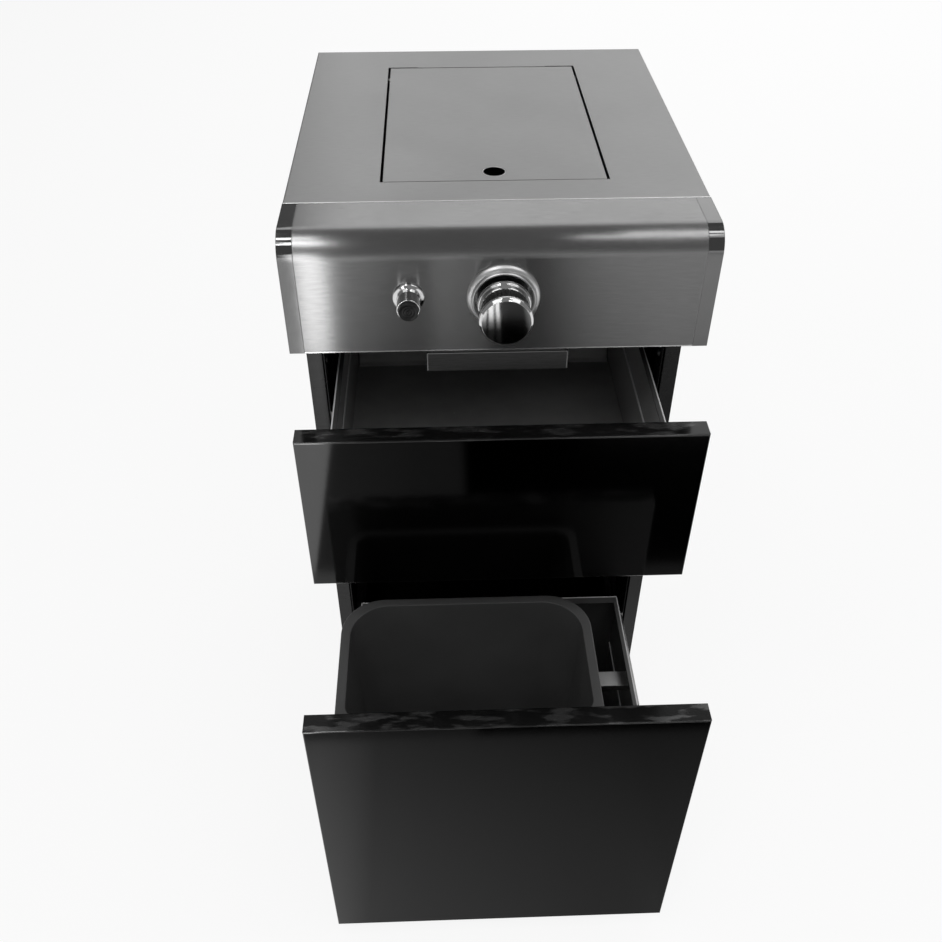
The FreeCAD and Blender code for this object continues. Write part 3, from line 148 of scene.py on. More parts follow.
def noise(tree, place, scale, detail, roughness=0.5):
    """Soft noise that looks the same in every direction."""
    made = node(tree, "TexNoise", Vector=place, Scale=scale, Detail=detail, Roughness=roughness)
    return made.outputs["Fac"]


def ramp_between(tree, factor, low, high, start=0.3, end=0.7):
    """Colour that runs from low to high as the factor goes from start to end."""
    ramp = node(tree, "ValToRGB", Fac=factor)
    ramp.color_ramp.elements[0].position = start
    ramp.color_ramp.elements[0].color = low
    ramp.color_ramp.elements[1].position = end
    ramp.color_ramp.elements[1].color = high
    return ramp.outputs["Color"]


def ranged(tree, factor, low, high, start=0.3, end=0.7):
    """Number that runs from low to high as the factor goes from start to end."""
    return node(tree, "MapRange", {"clamp": True}, Value=factor, From_Min=start, From_Max=end,
                To_Min=low, To_Max=high).outputs["Result"]


# %% [markdown]
# ## Floor and world
# A plain pale floor carries the shadow, under an even grey world. The floor's white could be reached
# with stronger lamps, but they would bleach the cabinet too. It is lifted through Light Path instead,
# for what the camera and the metal see of it, so that no extra light falls on the cabinet.

# %% Floor and world
FLOOR_HALF = 9.0
FLOOR_TONE = 0.92
FLOOR_DRIFT = 0.01
FLOOR_WHITE_SHARE = 0.88
MATT_ROUGHNESS = 0.9
WORLD_LEVEL = 0.22


def add_sheet(name, low, high, height, material):
    """Flat rectangle at a height."""
    corners = [(low[0], low[1]), (high[0], low[1]), (high[0], high[1]), (low[0], high[1])]
    mesh = bpy.data.meshes.new(name)
    mesh.from_pydata([(x, y, height) for x, y in corners], [], [(0, 1, 2, 3)])
    mesh.materials.append(material)
    sheet = linked(name, mesh)
    return sheet


def matt(name):
    """A material without gloss, its tree, its shader and its Object coordinates."""
    material, tree, shader, place = new_material(name)
    feed(tree, shader, Roughness=MATT_ROUGHNESS, Specular_IOR_Level=0.0)
    return material, tree, shader, place


def pale_floor():
    """Matt white that drifts a little; the camera, mirrors and glass see it mixed with plain white."""
    material, tree, shader, place = matt("pale_floor")
    drift = noise(tree, place, scale=1.5, detail=3.0)
    tones = (grey(FLOOR_TONE - FLOOR_DRIFT), grey(FLOOR_TONE + FLOOR_DRIFT))
    feed(tree, shader, Base_Color=ramp_between(tree, drift, *tones))
    path = node(tree, "LightPath").outputs
    seen = math(tree, "MAXIMUM", path["Is Camera Ray"], path["Is Glossy Ray"])
    seen = math(tree, "MAXIMUM", seen, path["Is Transmission Ray"])
    share = math(tree, "MULTIPLY", seen, FLOOR_WHITE_SHARE)
    white = node(tree, "Emission", Strength=1.0).outputs["Emission"]
    mixed = node(tree, "MixShader", input_0=share, input_1=shader.outputs["BSDF"], input_2=white)
    feed(tree, tree.nodes["Material Output"], Surface=mixed.outputs["Shader"])
    return material


def set_world():
    """Even grey light from every side, and colours shown as they are written."""
    world = bpy.data.worlds.new("studio_world")
    world.use_nodes = True
    feed(world.node_tree, world.node_tree.nodes["Background"], Color=grey(1.0), Strength=WORLD_LEVEL)
    bpy.context.scene.world = world
    bpy.context.scene.view_settings.view_transform = "Standard"


add_sheet("floor", (-FLOOR_HALF, -FLOOR_HALF), (FLOOR_HALF, FLOOR_HALF), 0.0, pale_floor())
set_world()
print("floor", 2 * FLOOR_HALF, "m square, world level", WORLD_LEVEL)

# %% [markdown]
# ## Cards for the reflections
# Metal shows the room more than it shows itself. Four grey cards on the floor in front are flags: they
# are seen only in reflections, where their tones are painted shade and painted light: dark for the dim
# floor in front of the cabinet, which keeps the black fronts and the knob's face dark, and bright at the
# front left. A picture of a room could do the same, but a card is easier to plan, because a mirrored ray
# can be followed down to it. A card's tone is the product of one ramp along X and one along Y. The far
# card carries painted light stripes, which show in the knob's cap as painted reflections.

# %% Cards for the reflections
CARD_HEIGHT = 2 * MM
NEAR_START = -0.41
MIDDLE_START = -0.72
FAR_START = -1.16
FAR_END = -3.50
RIGHT_START = 0.23
RIGHT_END = 1.20
# Painted light stripes on the far card, with painted shade between them, which the knob's cap shows as
# painted reflections
STRIPES = ((-0.005, 0.022), (0.045, 0.063))
PAINTED_STRIPE_TONE = 1.5
PAINTED_SHADE_GAP = 0.04
STRIPE_FADE = 5 * MM

# Tone of each card at places along X and Y: painted shade where low, painted light where high
NEAR_BANDS_X = {-0.45: 2.40, -0.27: 2.00, -0.21: 1.40, -0.18: 1.00, -0.10: 0.85, 0.25: 0.45, RIGHT_END: 0.45}
NEAR_BANDS_Y = {MIDDLE_START: 0.25, NEAR_START: 0.50}
MIDDLE_BANDS_X = {-0.31: 0.16, -0.12: 0.10, -0.03: 0.09, -0.01: 0.0, RIGHT_END: 0.01}
MIDDLE_BANDS_Y = {FAR_START: 1.0, MIDDLE_START: 1.0}
FAR_BANDS_X = {
    -0.335: 0.65, -0.30: 1.0, -0.25: 0.90, -0.20: 0.60, -0.12: 0.35, -0.10: 0.50, -0.07: 1.35, -0.025: 1.35,
    -0.02: PAINTED_SHADE_GAP, RIGHT_START: PAINTED_SHADE_GAP,
}
FAR_BANDS_Y = {FAR_END: 0.7, -2.30: 1.0, -1.80: 1.60, -1.64: 1.1, -1.52: 0.25, -1.42: 0.02, FAR_START: 0.0}
RIGHT_BANDS_X = {RIGHT_START: PAINTED_SHADE_GAP, 0.27: 0.30, 0.36: 0.80, 0.52: 1.20, RIGHT_END: 1.20}
RIGHT_BANDS_Y = {FAR_END: 1.15, -1.70: 1.1, -1.50: 1.0, -1.32: 0.85, FAR_START: 0.4}
for left, right in STRIPES:
    FAR_BANDS_X.update({left - STRIPE_FADE: PAINTED_SHADE_GAP, left: PAINTED_STRIPE_TONE})
    FAR_BANDS_X.update({right: PAINTED_STRIPE_TONE, right + STRIPE_FADE: PAINTED_SHADE_GAP})


def bands(tree, along, tones):
    """Tone that runs through the given tones, each at its place along a coordinate."""
    start = min(tones)
    end = max(tones)
    ramp = node(tree, "ValToRGB", Fac=ranged(tree, along, 0.0, 1.0, start, end))
    stops = ramp.color_ramp.elements
    stops[0].color = grey(tones[start])
    stops[1].color = grey(tones[end])
    for place in sorted(tones)[1:-1]:
        stops.new((place - start) / (end - start)).color = grey(tones[place])
    return ramp.outputs["Color"]


def add_flag(name, bands_x, bands_y):
    """Matt card on the floor, seen only in reflections: painted shade and light, the product of bands along X
    and Y.
    """
    material, tree, shader, place = matt(name)
    across = node(tree, "SeparateXYZ", Vector=place).outputs
    tone = math(tree, "MULTIPLY", bands(tree, across["X"], bands_x), bands(tree, across["Y"], bands_y))
    feed(tree, shader, Base_Color=tone)
    low = (min(bands_x), min(bands_y))
    high = (max(bands_x), max(bands_y))
    flag = add_sheet(name, low, high, CARD_HEIGHT, material)
    for ray in ("visible_camera", "visible_diffuse", "visible_shadow"):
        setattr(flag, ray, False)
    print(name, "from", low, "to", high)


add_flag("near_flag", NEAR_BANDS_X, NEAR_BANDS_Y)
add_flag("middle_flag", MIDDLE_BANDS_X, MIDDLE_BANDS_Y)
add_flag("far_flag", FAR_BANDS_X, FAR_BANDS_Y)
add_flag("right_flag", RIGHT_BANDS_X, RIGHT_BANDS_Y)

# %% [markdown]
# ## Lamps
# The photographed room was bright above and behind the cabinet, dim straight in front of it, and
# bright again at the front left. The same is built from plain soft lamps: a wide ceiling panel that
# starts behind the cabinet and runs back, two top panels at its sides, four small keys for the
# highlights along the panel's nose, a low strip at the left, and a fill that metal doesn't mirror.
# Blender asks for a lamp's power, but a mirror shows its brightness, so the power is worked out.

# %% Lamps
LAMP_HEIGHT = 2.8
TOP_LEVEL = 1.20
STRIP_PLACE = (-0.317, -1.0, 0.60)
STRIP_TARGET = (-0.317, 0.0, 0.60)
FILL_PLACE = (0.1, -2.0, 3.0)
FILL_TARGET = (0.0, -0.1, 0.5)


def add_panel_lamp(name, centre, target, width, height, level):
    """Soft rectangular lamp of an even brightness: its power is level times its area times pi."""
    data = bpy.data.lights.new(name, "AREA")
    data.shape = "RECTANGLE"
    data.size = width
    data.size_y = height
    data.energy = level * width * height * np.pi
    lamp = linked(name, data)
    centre = Vector(centre)
    lamp.location = centre
    lamp.rotation_euler = (Vector(target) - centre).to_track_quat("-Z", "Y").to_euler()
    lamp.visible_camera = False
    return lamp


def add_overhead(name, x, y, width, depth, level):
    """Panel lamp at the lamps' height that shines straight down."""
    add_panel_lamp(name, (x, y, LAMP_HEIGHT), (x, y, 0), width, depth, level)


add_overhead("ceiling_panel", x=1.74, y=4.4, width=4.92, depth=5.8, level=1.30)
add_overhead("left_top", x=-1.25, y=-0.5, width=1.4, depth=2.0, level=TOP_LEVEL)
add_overhead("right_top", x=1.55, y=-0.5, width=1.5, depth=2.0, level=TOP_LEVEL)
add_panel_lamp("left_strip", STRIP_PLACE, STRIP_TARGET, width=0.055, height=0.86, level=4.0)
add_overhead("left_near_key", x=-0.60, y=-0.50, width=0.36, depth=0.32, level=8.0)
add_overhead("left_far_key", x=-0.63, y=-1.44, width=0.38, depth=0.50, level=12.0)
add_overhead("right_near_key", x=0.72, y=-0.50, width=0.48, depth=0.32, level=4.0)
add_overhead("right_far_key", x=0.655, y=-1.05, width=0.59, depth=0.42, level=3.2)
fill = add_panel_lamp("front_fill", FILL_PLACE, FILL_TARGET, width=1.8, height=1.2, level=1.6)
fill.visible_glossy = False

# %% [markdown]
# ## Brushed stainless sheet
# The worktop, lid and control panel are stainless sheet brushed along its width. The brush leaves
# thousands of fine grooves, so a reflection stays crisp along the grain and smears across it.
# A bump map alone would need a very dense pattern. An anisotropic shader gives the smear
# directly; the grain itself is a noise stretched along X, which tints the metal and raises a little
# bump, and slow clouds roughen it. The direction of the smear is the cross product of the surface's
# normal and the grain, so that it follows the panel round its nose. A painted highlight, a thin line of
# light tone, marks the cut edges at the worktop's front and the panel's foot.

# %% Brushed sheet
GRAIN_STRETCH = (70.0, 1300.0, 1300.0)
GRAIN_LEAN = 0.02
GRAIN_BUMP = 0.1 * MM
GRAIN_STRENGTH = 0.05
EDGE_ROUND = 1.0 * MM
EDGE_SAMPLES = 4
# Painted highlight line along the cut edges: its tone, width and solid share
PAINTED_HIGHLIGHT_TONE = 0.85
LINE_WIDTH = 1.6 * MM
LINE_SOLID = 0.8
finishes = {}


def stretched_noise(tree, place, stretch, detail=4.0):
    """Noise drawn out by a different scale on each axis."""
    mapped = node(tree, "Mapping", Vector=place, Scale=stretch)
    return noise(tree, mapped.outputs["Vector"], scale=1.0, detail=detail)


def soft_edges(tree):
    """Normal that rounds the sharp folds of a sheet over a millimetre."""
    return node(tree, "Bevel", {"samples": EDGE_SAMPLES}, Radius=EDGE_ROUND).outputs["Normal"]


def bumped(tree, height, strength, distance):
    """Normal with soft edges, raised by a height pattern."""
    return node(tree, "Bump", Height=height, Strength=strength, Distance=distance,
                Normal=soft_edges(tree)).outputs["Normal"]


def smear_across(tree):
    """Tangent at right angles to a grain along X, which leans up a little so that it runs up the ends."""
    normal = node(tree, "NewGeometry").outputs["Normal"]
    return node(tree, "VectorMath", {"operation": "CROSS_PRODUCT"}, input_0=normal,
                input_1=(1.0, 0.0, GRAIN_LEAN)).outputs["Vector"]


def mix(tree, share, first, second):
    """Colour that goes from the first to the second as the share goes from 0 to 1."""
    return node(tree, "Mix", {"data_type": "RGBA"}, input_0=share, input_6=first, input_7=second).outputs[2]


def painted_line_mask(tree, place, axis, edge):
    """Mask of a painted highlight line: 1 within a thin line along X that starts at an edge, fading to 0 at
    its far side.
    """
    value = node(tree, "SeparateXYZ", Vector=place).outputs[axis]
    return ranged(tree, value, 1.0, 0.0, edge + LINE_SOLID * LINE_WIDTH, edge + LINE_WIDTH)


def brushed_sheet(name, tone, roughness, contrast, smudge, painted_highlight_line=None):
    """Metal with a grain along X: streaks of tone, clouds of roughness, a smeared gloss, a painted highlight
    along an edge.
    """
    material, tree, shader, place = new_material(name)
    streaks = stretched_noise(tree, place, GRAIN_STRETCH)
    clouds = noise(tree, place, scale=9.0, detail=6.0, roughness=0.6)
    colour = ramp_between(tree, streaks, grey(tone * (1 - contrast)), grey(tone * (1 + contrast)))
    if painted_highlight_line:
        colour = mix(tree, painted_line_mask(tree, place, *painted_highlight_line), colour, grey(PAINTED_HIGHLIGHT_TONE))
    feed(tree, shader, Base_Color=colour, Metallic=1.0, Anisotropic=1.0, Tangent=smear_across(tree),
         Roughness=ranged(tree, clouds, roughness, roughness + smudge),
         Normal=bumped(tree, streaks, GRAIN_STRENGTH, GRAIN_BUMP))
    return material


def add_finishes(maker, recipes):
    """Makes one finish from each recipe and keeps it under its name."""
    for name, recipe in recipes.items():
        finishes[name] = maker(name, **recipe)
    print(maker.__name__, "makes", ", ".join(recipes))


# Edges that carry the painted highlight line
worktop_front = ("Y", span("worktop")[0][1])
panel_foot = ("Z", span("control_panel")[0][2])
add_finishes(brushed_sheet, {
    "worktop_steel": dict(tone=0.325, roughness=0.28, contrast=0.05, smudge=0.03, painted_highlight_line=worktop_front),
    "panel_steel": dict(tone=0.255, roughness=0.19, contrast=0.09, smudge=0.03, painted_highlight_line=panel_foot),
    "body_steel": dict(tone=0.20, roughness=0.34, contrast=0.15, smudge=0.12),
    "carcass_steel": dict(tone=0.038, roughness=0.24, contrast=0.10, smudge=0.05),
})

# %% [markdown]
# ## Polished steel, chrome and plated steel
# The panel's end caps are polished, the knob and igniter are chromed, the rails and screws are
# zinc-plated. All three are metals with little roughness; what tells them apart is how clean they
# are. Polished sheet keeps faint clouds, chrome only a few smudges, and zinc has the
# patches of its crystals.

# %% Polished and plated metals
PATCH_DARK = 0.95
PATCH_LIGHT = 1.03
CRYSTAL_SCALE = 160.0
CRYSTAL_DARK = 0.88
CRYSTAL_LIGHT = 1.08
CRYSTAL_BUMP = 0.2 * MM
CRYSTAL_STRENGTH = 0.05


def polished_metal(name, tone, roughness, smudge, scale):
    """Smooth metal whose tone and roughness drift in soft patches."""
    material, tree, shader, place = new_material(name)
    patches = noise(tree, place, scale, detail=5.0, roughness=0.65)
    feed(tree, shader, Metallic=1.0, Normal=soft_edges(tree),
         Base_Color=ramp_between(tree, patches, grey(tone * PATCH_DARK), grey(tone * PATCH_LIGHT)),
         Roughness=ranged(tree, patches, roughness, roughness + smudge))
    return material


def zinc_plate(name, tone, roughness, smudge):
    """Plated steel: crystal patches from a cell pattern, with a fine bump."""
    material, tree, shader, place = new_material(name)
    cells = node(tree, "TexVoronoi", Vector=place, Scale=CRYSTAL_SCALE).outputs["Color"]
    lightness = node(tree, "RGBToBW", Color=cells).outputs["Val"]
    tones = (grey(tone * CRYSTAL_DARK), grey(tone * CRYSTAL_LIGHT))
    feed(tree, shader, Metallic=1.0, Base_Color=ramp_between(tree, lightness, *tones, start=0.1, end=0.9),
         Roughness=ranged(tree, lightness, roughness, roughness + smudge),
         Normal=bumped(tree, lightness, CRYSTAL_STRENGTH, CRYSTAL_BUMP))
    return material


add_finishes(polished_metal, {
    "polished_steel": dict(tone=0.18, roughness=0.06, smudge=0.03, scale=25.0),
    "satin_chrome": dict(tone=0.70, roughness=0.36, smudge=0.05, scale=60.0),
    "chrome": dict(tone=0.72, roughness=0.03, smudge=0.04, scale=60.0),
})
add_finishes(zinc_plate, {"rail_steel": dict(tone=0.42, roughness=0.28, smudge=0.14)})

# %% [markdown]
# ## Black steel
# The drawer fronts are black sheet with a clear gloss: nearly no colour of their own, a sharp
# reflection with a trace of grain, and finger marks on the top edges, where hands push the drawer
# shut. The marks could be painted by hand. Here they are a noise that is cut near its middle, so
# that it falls into blots, and a mask of the upward part of the normal keeps them on the top edges.
# These edges are duller than the face, and their tone is painted darker: painted shade.

# %% Black steel
MARK_STRETCH = (25.0, 90.0, 90.0)
MARK_START = 0.50
MARK_END = 0.58
EDGE_WEAR = 0.10


def facing_up(tree):
    """1 where the surface faces up, 0 where it stands upright or faces down."""
    normal = node(tree, "NewGeometry").outputs["Normal"]
    upward = node(tree, "SeparateXYZ", Vector=normal).outputs["Z"]
    return ranged(tree, upward, 0.0, 1.0, start=0.6, end=0.9)


def black_gloss(name, tone, painted_shade_top_tone, mark_tone):
    """Dark glossy sheet with a faint grain; its top edges carry painted shade, a darker tone, and greasy
    finger marks.
    """
    material, tree, shader, place = new_material(name)
    streaks = stretched_noise(tree, place, GRAIN_STRETCH)
    blots = stretched_noise(tree, place, MARK_STRETCH, detail=5.0)
    top = facing_up(tree)
    marks = math(tree, "MULTIPLY", ranged(tree, blots, 0.0, 1.0, MARK_START, MARK_END), top)
    # Painted shade: the top edges take a darker tone, with the lighter finger marks on it
    edge = ramp_between(tree, marks, grey(painted_shade_top_tone), grey(mark_tone), 0.0, 1.0)
    grain = ranged(tree, streaks, low=0.05, high=0.08)
    wear = math(tree, "MULTIPLY", math(tree, "ADD", marks, top), EDGE_WEAR)
    feed(tree, shader, Base_Color=mix(tree, top, grey(tone), edge), Metallic=1.0, Anisotropic=0.8,
         Tangent=smear_across(tree), Roughness=math(tree, "ADD", grain, wear),
         Normal=bumped(tree, streaks, GRAIN_STRENGTH, GRAIN_BUMP))
    return material


add_finishes(black_gloss, {"black_steel": dict(tone=0.095, painted_shade_top_tone=0.042, mark_tone=0.115)})

# %% [markdown]
# ## The drawer sheet
# The boxes behind the fronts are a dark satin sheet with cloudy handling marks and a few bright specks.
# The upper box's top folds are painted darker, painted shade. A second material could be given to them,
# but a mask over the height leaves the mesh alone. The upper box's tone is lifted, painted light for the
# shade under the panel; the lower box is in the shade of its bin, so its copy of the sheet is painted
# darker, painted shade. The worn folds are the same sheet rubbed bright, with a painted highlight.

# %% Drawer sheet
SPECK_SCALE = 22.0
SPECK_SIZE = 0.035
SPECK_TONE = 0.5
CLOUD_CONTRAST = 0.15
CLOUD_SMUDGE = 0.15
FOLD_SHADE = 0.12
FOLD_TOP = span("upper_drawer_box")[1][2]
FOLD_THICK = 1.5 * MM


def satin_sheet(name, tone, roughness, fold_shade=1.0):
    """Dark sheet with a soft sheen, cloudy marks and specks; a painted shade scales its tone at the top
    folds.
    """
    material, tree, shader, place = new_material(name)
    clouds = noise(tree, place, scale=14.0, detail=6.0)
    cloudy = ramp_between(tree, clouds, grey(tone * (1 - CLOUD_CONTRAST)), grey(tone * (1 + CLOUD_CONTRAST)))
    spot = node(tree, "TexVoronoi", Vector=place, Scale=SPECK_SCALE).outputs["Distance"]
    speck = ranged(tree, spot, 1.0, 0.0, SPECK_SIZE / 2, SPECK_SIZE)
    specked = mix(tree, speck, cloudy, grey(SPECK_TONE))
    # Painted shade: a mask over the height darkens the top folds
    height = node(tree, "SeparateXYZ", Vector=place).outputs["Z"]
    shade = ranged(tree, height, 1.0, fold_shade, FOLD_TOP - 2 * FOLD_THICK, FOLD_TOP - FOLD_THICK)
    specked_with_painted_shade = node(tree, "VectorMath", {"operation": "SCALE"}, input_0=specked, Scale=shade).outputs["Vector"]
    feed(tree, shader, Base_Color=specked_with_painted_shade, Normal=soft_edges(tree),
         Roughness=ranged(tree, clouds, roughness, roughness + CLOUD_SMUDGE))
    return material


add_finishes(satin_sheet, {
    # Painted light and shade: the first tone is lifted for the upper box under the panel, the second darkened
    # for the lower box
    "drawer_steel": dict(tone=0.34, roughness=0.38, fold_shade=FOLD_SHADE),
    "shaded_sheet": dict(tone=0.07, roughness=0.38),
    # Worn folds, partly a painted highlight: a light tone that shows them as bright lines
    "worn_fold": dict(tone=0.70, roughness=0.34),
})

# %% [markdown]
# ## Plastics, rubber and ceramic
# Moulded plastic takes its look from the mould: the bin has a fine spark-eroded texture, the
# knob's grip is smoother. Rubber is matt with dust in its pores, and the spark electrode's sleeve is a
# glazed white ceramic. One graph serves them all.

# %% Non-metals
TEXTURE_STRENGTH = 0.25
MOULD_CONTRAST = 0.1
MOULD_POLISH = 0.04
MOULD_SMUDGE = 0.06


def moulded(name, tone, roughness, grain_scale, grain_height, gloss=0.5, warmth=0.0):
    """Plastic, rubber or glaze with a fine moulded texture and slow changes of tone."""
    material, tree, shader, place = new_material(name)
    texture = noise(tree, place, grain_scale, detail=2.0)
    drift = noise(tree, place, scale=12.0, detail=4.0)
    low = grey(tone * (1 - MOULD_CONTRAST), warmth)
    high = grey(tone * (1 + MOULD_CONTRAST), warmth)
    feed(tree, shader, Base_Color=ramp_between(tree, drift, low, high), Specular_IOR_Level=gloss,
         Roughness=ranged(tree, drift, roughness - MOULD_POLISH, roughness + MOULD_SMUDGE),
         Normal=bumped(tree, texture, TEXTURE_STRENGTH, grain_height))
    return material


add_finishes(moulded, {
    "black_plastic": dict(tone=0.010, roughness=0.30, grain_scale=900.0, grain_height=0.1 * MM, gloss=0.3),
    "bin_plastic": dict(tone=0.062, roughness=0.50, grain_scale=1300.0, grain_height=0.2 * MM, gloss=0.4),
    "foot_rubber": dict(tone=0.022, roughness=0.80, grain_scale=600.0, grain_height=0.3 * MM, gloss=0.25),
    "insulator": dict(tone=0.78, roughness=0.18, grain_scale=300.0, grain_height=0.05 * MM, warmth=0.03),
})

# %% [markdown]
# ## Burner metals
# Under the lid the burner has a cast alloy cup, a brass ring with flame ports, a black enamelled
# cap and a cast-iron pan support. Casting leaves a pebbled skin, so these share one graph: a
# fine bump over a slow drift of tone, with only the numbers changed.

# %% Cast metals and brass
PEBBLE_SCALE = 420.0
PEBBLE_STRENGTH = 0.35
CAST_POLISH = 0.06
CAST_SMUDGE = 0.08
BRASS_LOW = (0.46, 0.33, 0.13, 1)
BRASS_HIGH = (0.58, 0.44, 0.19, 1)


def cast_metal(name, low, high, metallic, roughness, pebble):
    """Cast skin: a pebbled bump, and a tone that drifts between two colours."""
    material, tree, shader, place = new_material(name)
    fine = noise(tree, place, PEBBLE_SCALE, detail=4.0)
    drift = noise(tree, place, scale=40.0, detail=5.0)
    feed(tree, shader, Base_Color=ramp_between(tree, drift, low, high), Metallic=metallic,
         Roughness=ranged(tree, drift, roughness - CAST_POLISH, roughness + CAST_SMUDGE),
         Normal=bumped(tree, fine, PEBBLE_STRENGTH, pebble))
    return material


add_finishes(cast_metal, {
    "cast_iron": dict(low=grey(0.018), high=grey(0.032), metallic=0.3, roughness=0.62, pebble=0.5 * MM),
    "burner_alloy": dict(low=grey(0.36), high=grey(0.46), metallic=1.0, roughness=0.42, pebble=0.3 * MM),
    "burner_enamel": dict(low=grey(0.010), high=grey(0.018), metallic=0.0, roughness=0.24, pebble=0.1 * MM),
    "brass": dict(low=BRASS_LOW, high=BRASS_HIGH, metallic=1.0, roughness=0.30, pebble=0.1 * MM),
})

# %% [markdown]
# ## Dress the frame
# Each node of the frame came with one material slot, named after the finish it should have. The
# mesh stays untouched: only the slot's material is swapped for the finished one. Three nodes get
# another finish than their slot's, as painted light and shade: the bar behind the bin gets a brighter
# one, a painted highlight in the box's shade, and the lower drawer's box and liner a darker copy of the
# drawer sheet, painted shade.

# %% Assign finishes to the frame's nodes
# Painted light and shade: a brighter finish for the crossbar, darker ones for the lower box and liner
painted_light_and_shade = {
    "bin_crossbar": "satin_chrome",
    "lower_drawer_box": "shaded_sheet",
    "lower_drawer_liner": "shaded_sheet",
}
slots = {name: piece.data.materials[0].name for name, piece in nodes.items()}
for name, piece in nodes.items():
    piece.data.materials[0] = finishes[painted_light_and_shade.get(name, slots[name])]
print("dressed", len(nodes), "nodes with", len(set(slots.values())), "kinds of slot")

# %% [markdown]
# ## Helpers for surfaces
# A turned, folded or moulded shape is a function of two parameters, so it can be worked out as one
# array of points, row by row and column by column, and skinned with four-cornered faces. Numpy does
# the whole array at once, with no loop over points. Poles and seams come out as doubled points: they
# are merged, and the faces are then turned outwards.

# %% Surface helpers
MERGE_DISTANCE = 1e-6
SHARP_ANGLE = np.radians(38)
CORNER_STEPS = 5
CRISP = 0.1 * MM


def skin(points, close_rows=False):
    """Faces over a (rows, columns, 3) array, one per cell: columns close into loops, and rows where asked."""
    rows, columns = points.shape[:2]
    index = np.arange(rows * columns).reshape(rows, columns)
    if close_rows:
        index = np.vstack([index, index[:1]])
    index = np.hstack([index, index[:, :1]])
    cells = [index[:-1, :-1], index[:-1, 1:], index[1:, 1:], index[1:, :-1]]
    return points.reshape(-1, 3), np.stack(cells, axis=-1).reshape(-1, 4)


def joined(skins):
    """Several skins as one list of points and faces."""
    counts = np.cumsum([0] + [len(points) for points, _ in skins])
    points = np.concatenate([points for points, _ in skins])
    faces = np.concatenate([faces + start for (_, faces), start in zip(skins, counts)])
    return points, faces


def add_piece(name, surface, body, slot, replaces=(), finish=None):
    """Object from points and faces that rides a body: doubles merged, faces outwards, sharp edges kept."""
    points, faces = surface
    mesh = bpy.data.meshes.new(name)
    mesh.from_pydata(points.tolist(), [], faces.tolist())
    work = bmesh.new()
    work.from_mesh(mesh)
    bmesh.ops.remove_doubles(work, verts=work.verts, dist=MERGE_DISTANCE)
    bmesh.ops.recalc_face_normals(work, faces=work.faces)
    work.to_mesh(mesh)
    work.free()
    mesh.shade_smooth()
    mesh.set_sharp_from_angle(angle=SHARP_ANGLE)
    mesh.materials.append(finishes[finish or slot])
    piece = linked(name, mesh)
    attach(piece, body)
    if replaces:
        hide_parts(*replaces)
    print(name, len(mesh.polygons), "faces")


def rounded(corners, steps=CORNER_STEPS):
    """Line through corners, given as two places and a round: each corner becomes a quadratic curve that
    starts and ends its round away from it."""
    rows = np.array(corners, float)
    corners = rows[:, :2]
    rounds = rows[:, 2:]
    back = np.roll(corners, 1, axis=0) - corners
    ahead = np.roll(corners, -1, axis=0) - corners
    start = corners + rounds * back / np.linalg.norm(back, axis=1, keepdims=True)
    end = corners + rounds * ahead / np.linalg.norm(ahead, axis=1, keepdims=True)
    t = np.linspace(0, 1, steps)[None, :, None]
    curve = (1 - t) ** 2 * start[:, None] + 2 * t * (1 - t) * corners[:, None] + t ** 2 * end[:, None]
    return curve.reshape(-1, 2)


def all_round(count):
    """Angles of points spread evenly round a circle."""
    return np.linspace(0, 2 * np.pi, count, endpoint=False)


def turned(profile, centre, columns=160, ripple=None):
    """Profile of radius and reach carried round an axis along -Y; a ripple changes the radius by angle."""
    angle = all_round(columns)
    radius = profile[:, :1] * np.ones(columns)
    if ripple is not None:
        radius = ripple(radius, angle)
    x = centre[0] + radius * np.sin(angle)
    y = centre[1] - profile[:, 1:2] * np.ones(columns)
    z = centre[2] + radius * np.cos(angle)
    return np.stack([x, y, z], -1)


def turned_size(name):
    """Radius, length and rear centre of a node that was turned about an axis along -Y."""
    low, high, middle = span(name)
    return (high[0] - low[0]) / 2, high[1] - low[1], (middle[0], high[1], middle[2])


# %% [markdown]
# ## The gas knob
# The knob is a stack of turned parts: a domed bezel on the panel, a stepped chrome skirt, a dark band
# with ribs for the fingers, and a polished cap. A Screw or Spin modifier could turn the profiles.
# Here each profile is a short list of corners with rounded edges, carried round the knob's axis. The
# cap's face is slightly domed, because a domed mirror gathers a wide piece of the room into itself,
# as the real one does.

# %% Knob bezel and skirt
BEZEL_WIDTH = 7.8 * MM
BEZEL_STEPS = 9
SPINDLE_BORE = 4.1 * MM
SKIRT_STEP = 0.45
SKIRT_CONE = 0.52
SKIRT_SHOULDER = 0.88


def knob_bezel_surface():
    """Ring: an outer dome, a fine groove and a raised lip round the gap in which the knob turns."""
    outer, tall, centre = turned_size("knob_bezel")
    inner = outer - BEZEL_WIDTH
    foot = [(inner, 0, 0.2 * MM), (outer, 0, 0.2 * MM), (outer, 1.6 * MM, 0.7 * MM)]
    dome = [(outer - 1.6 * MM, 4.0 * MM, 1.1 * MM), (outer - 3.8 * MM, 5.2 * MM, 0.2 * MM)]
    groove = [(outer - 4.2 * MM, 4.7 * MM, 0.2 * MM), (outer - 4.9 * MM, 8.6 * MM, 0.6 * MM)]
    lip = [(outer - 5.9 * MM, tall, 0.6 * MM), (inner, 8.8 * MM, 0.5 * MM)]
    profile = rounded(foot + dome + groove + lip, BEZEL_STEPS)
    return skin(turned(profile, centre), close_rows=True)


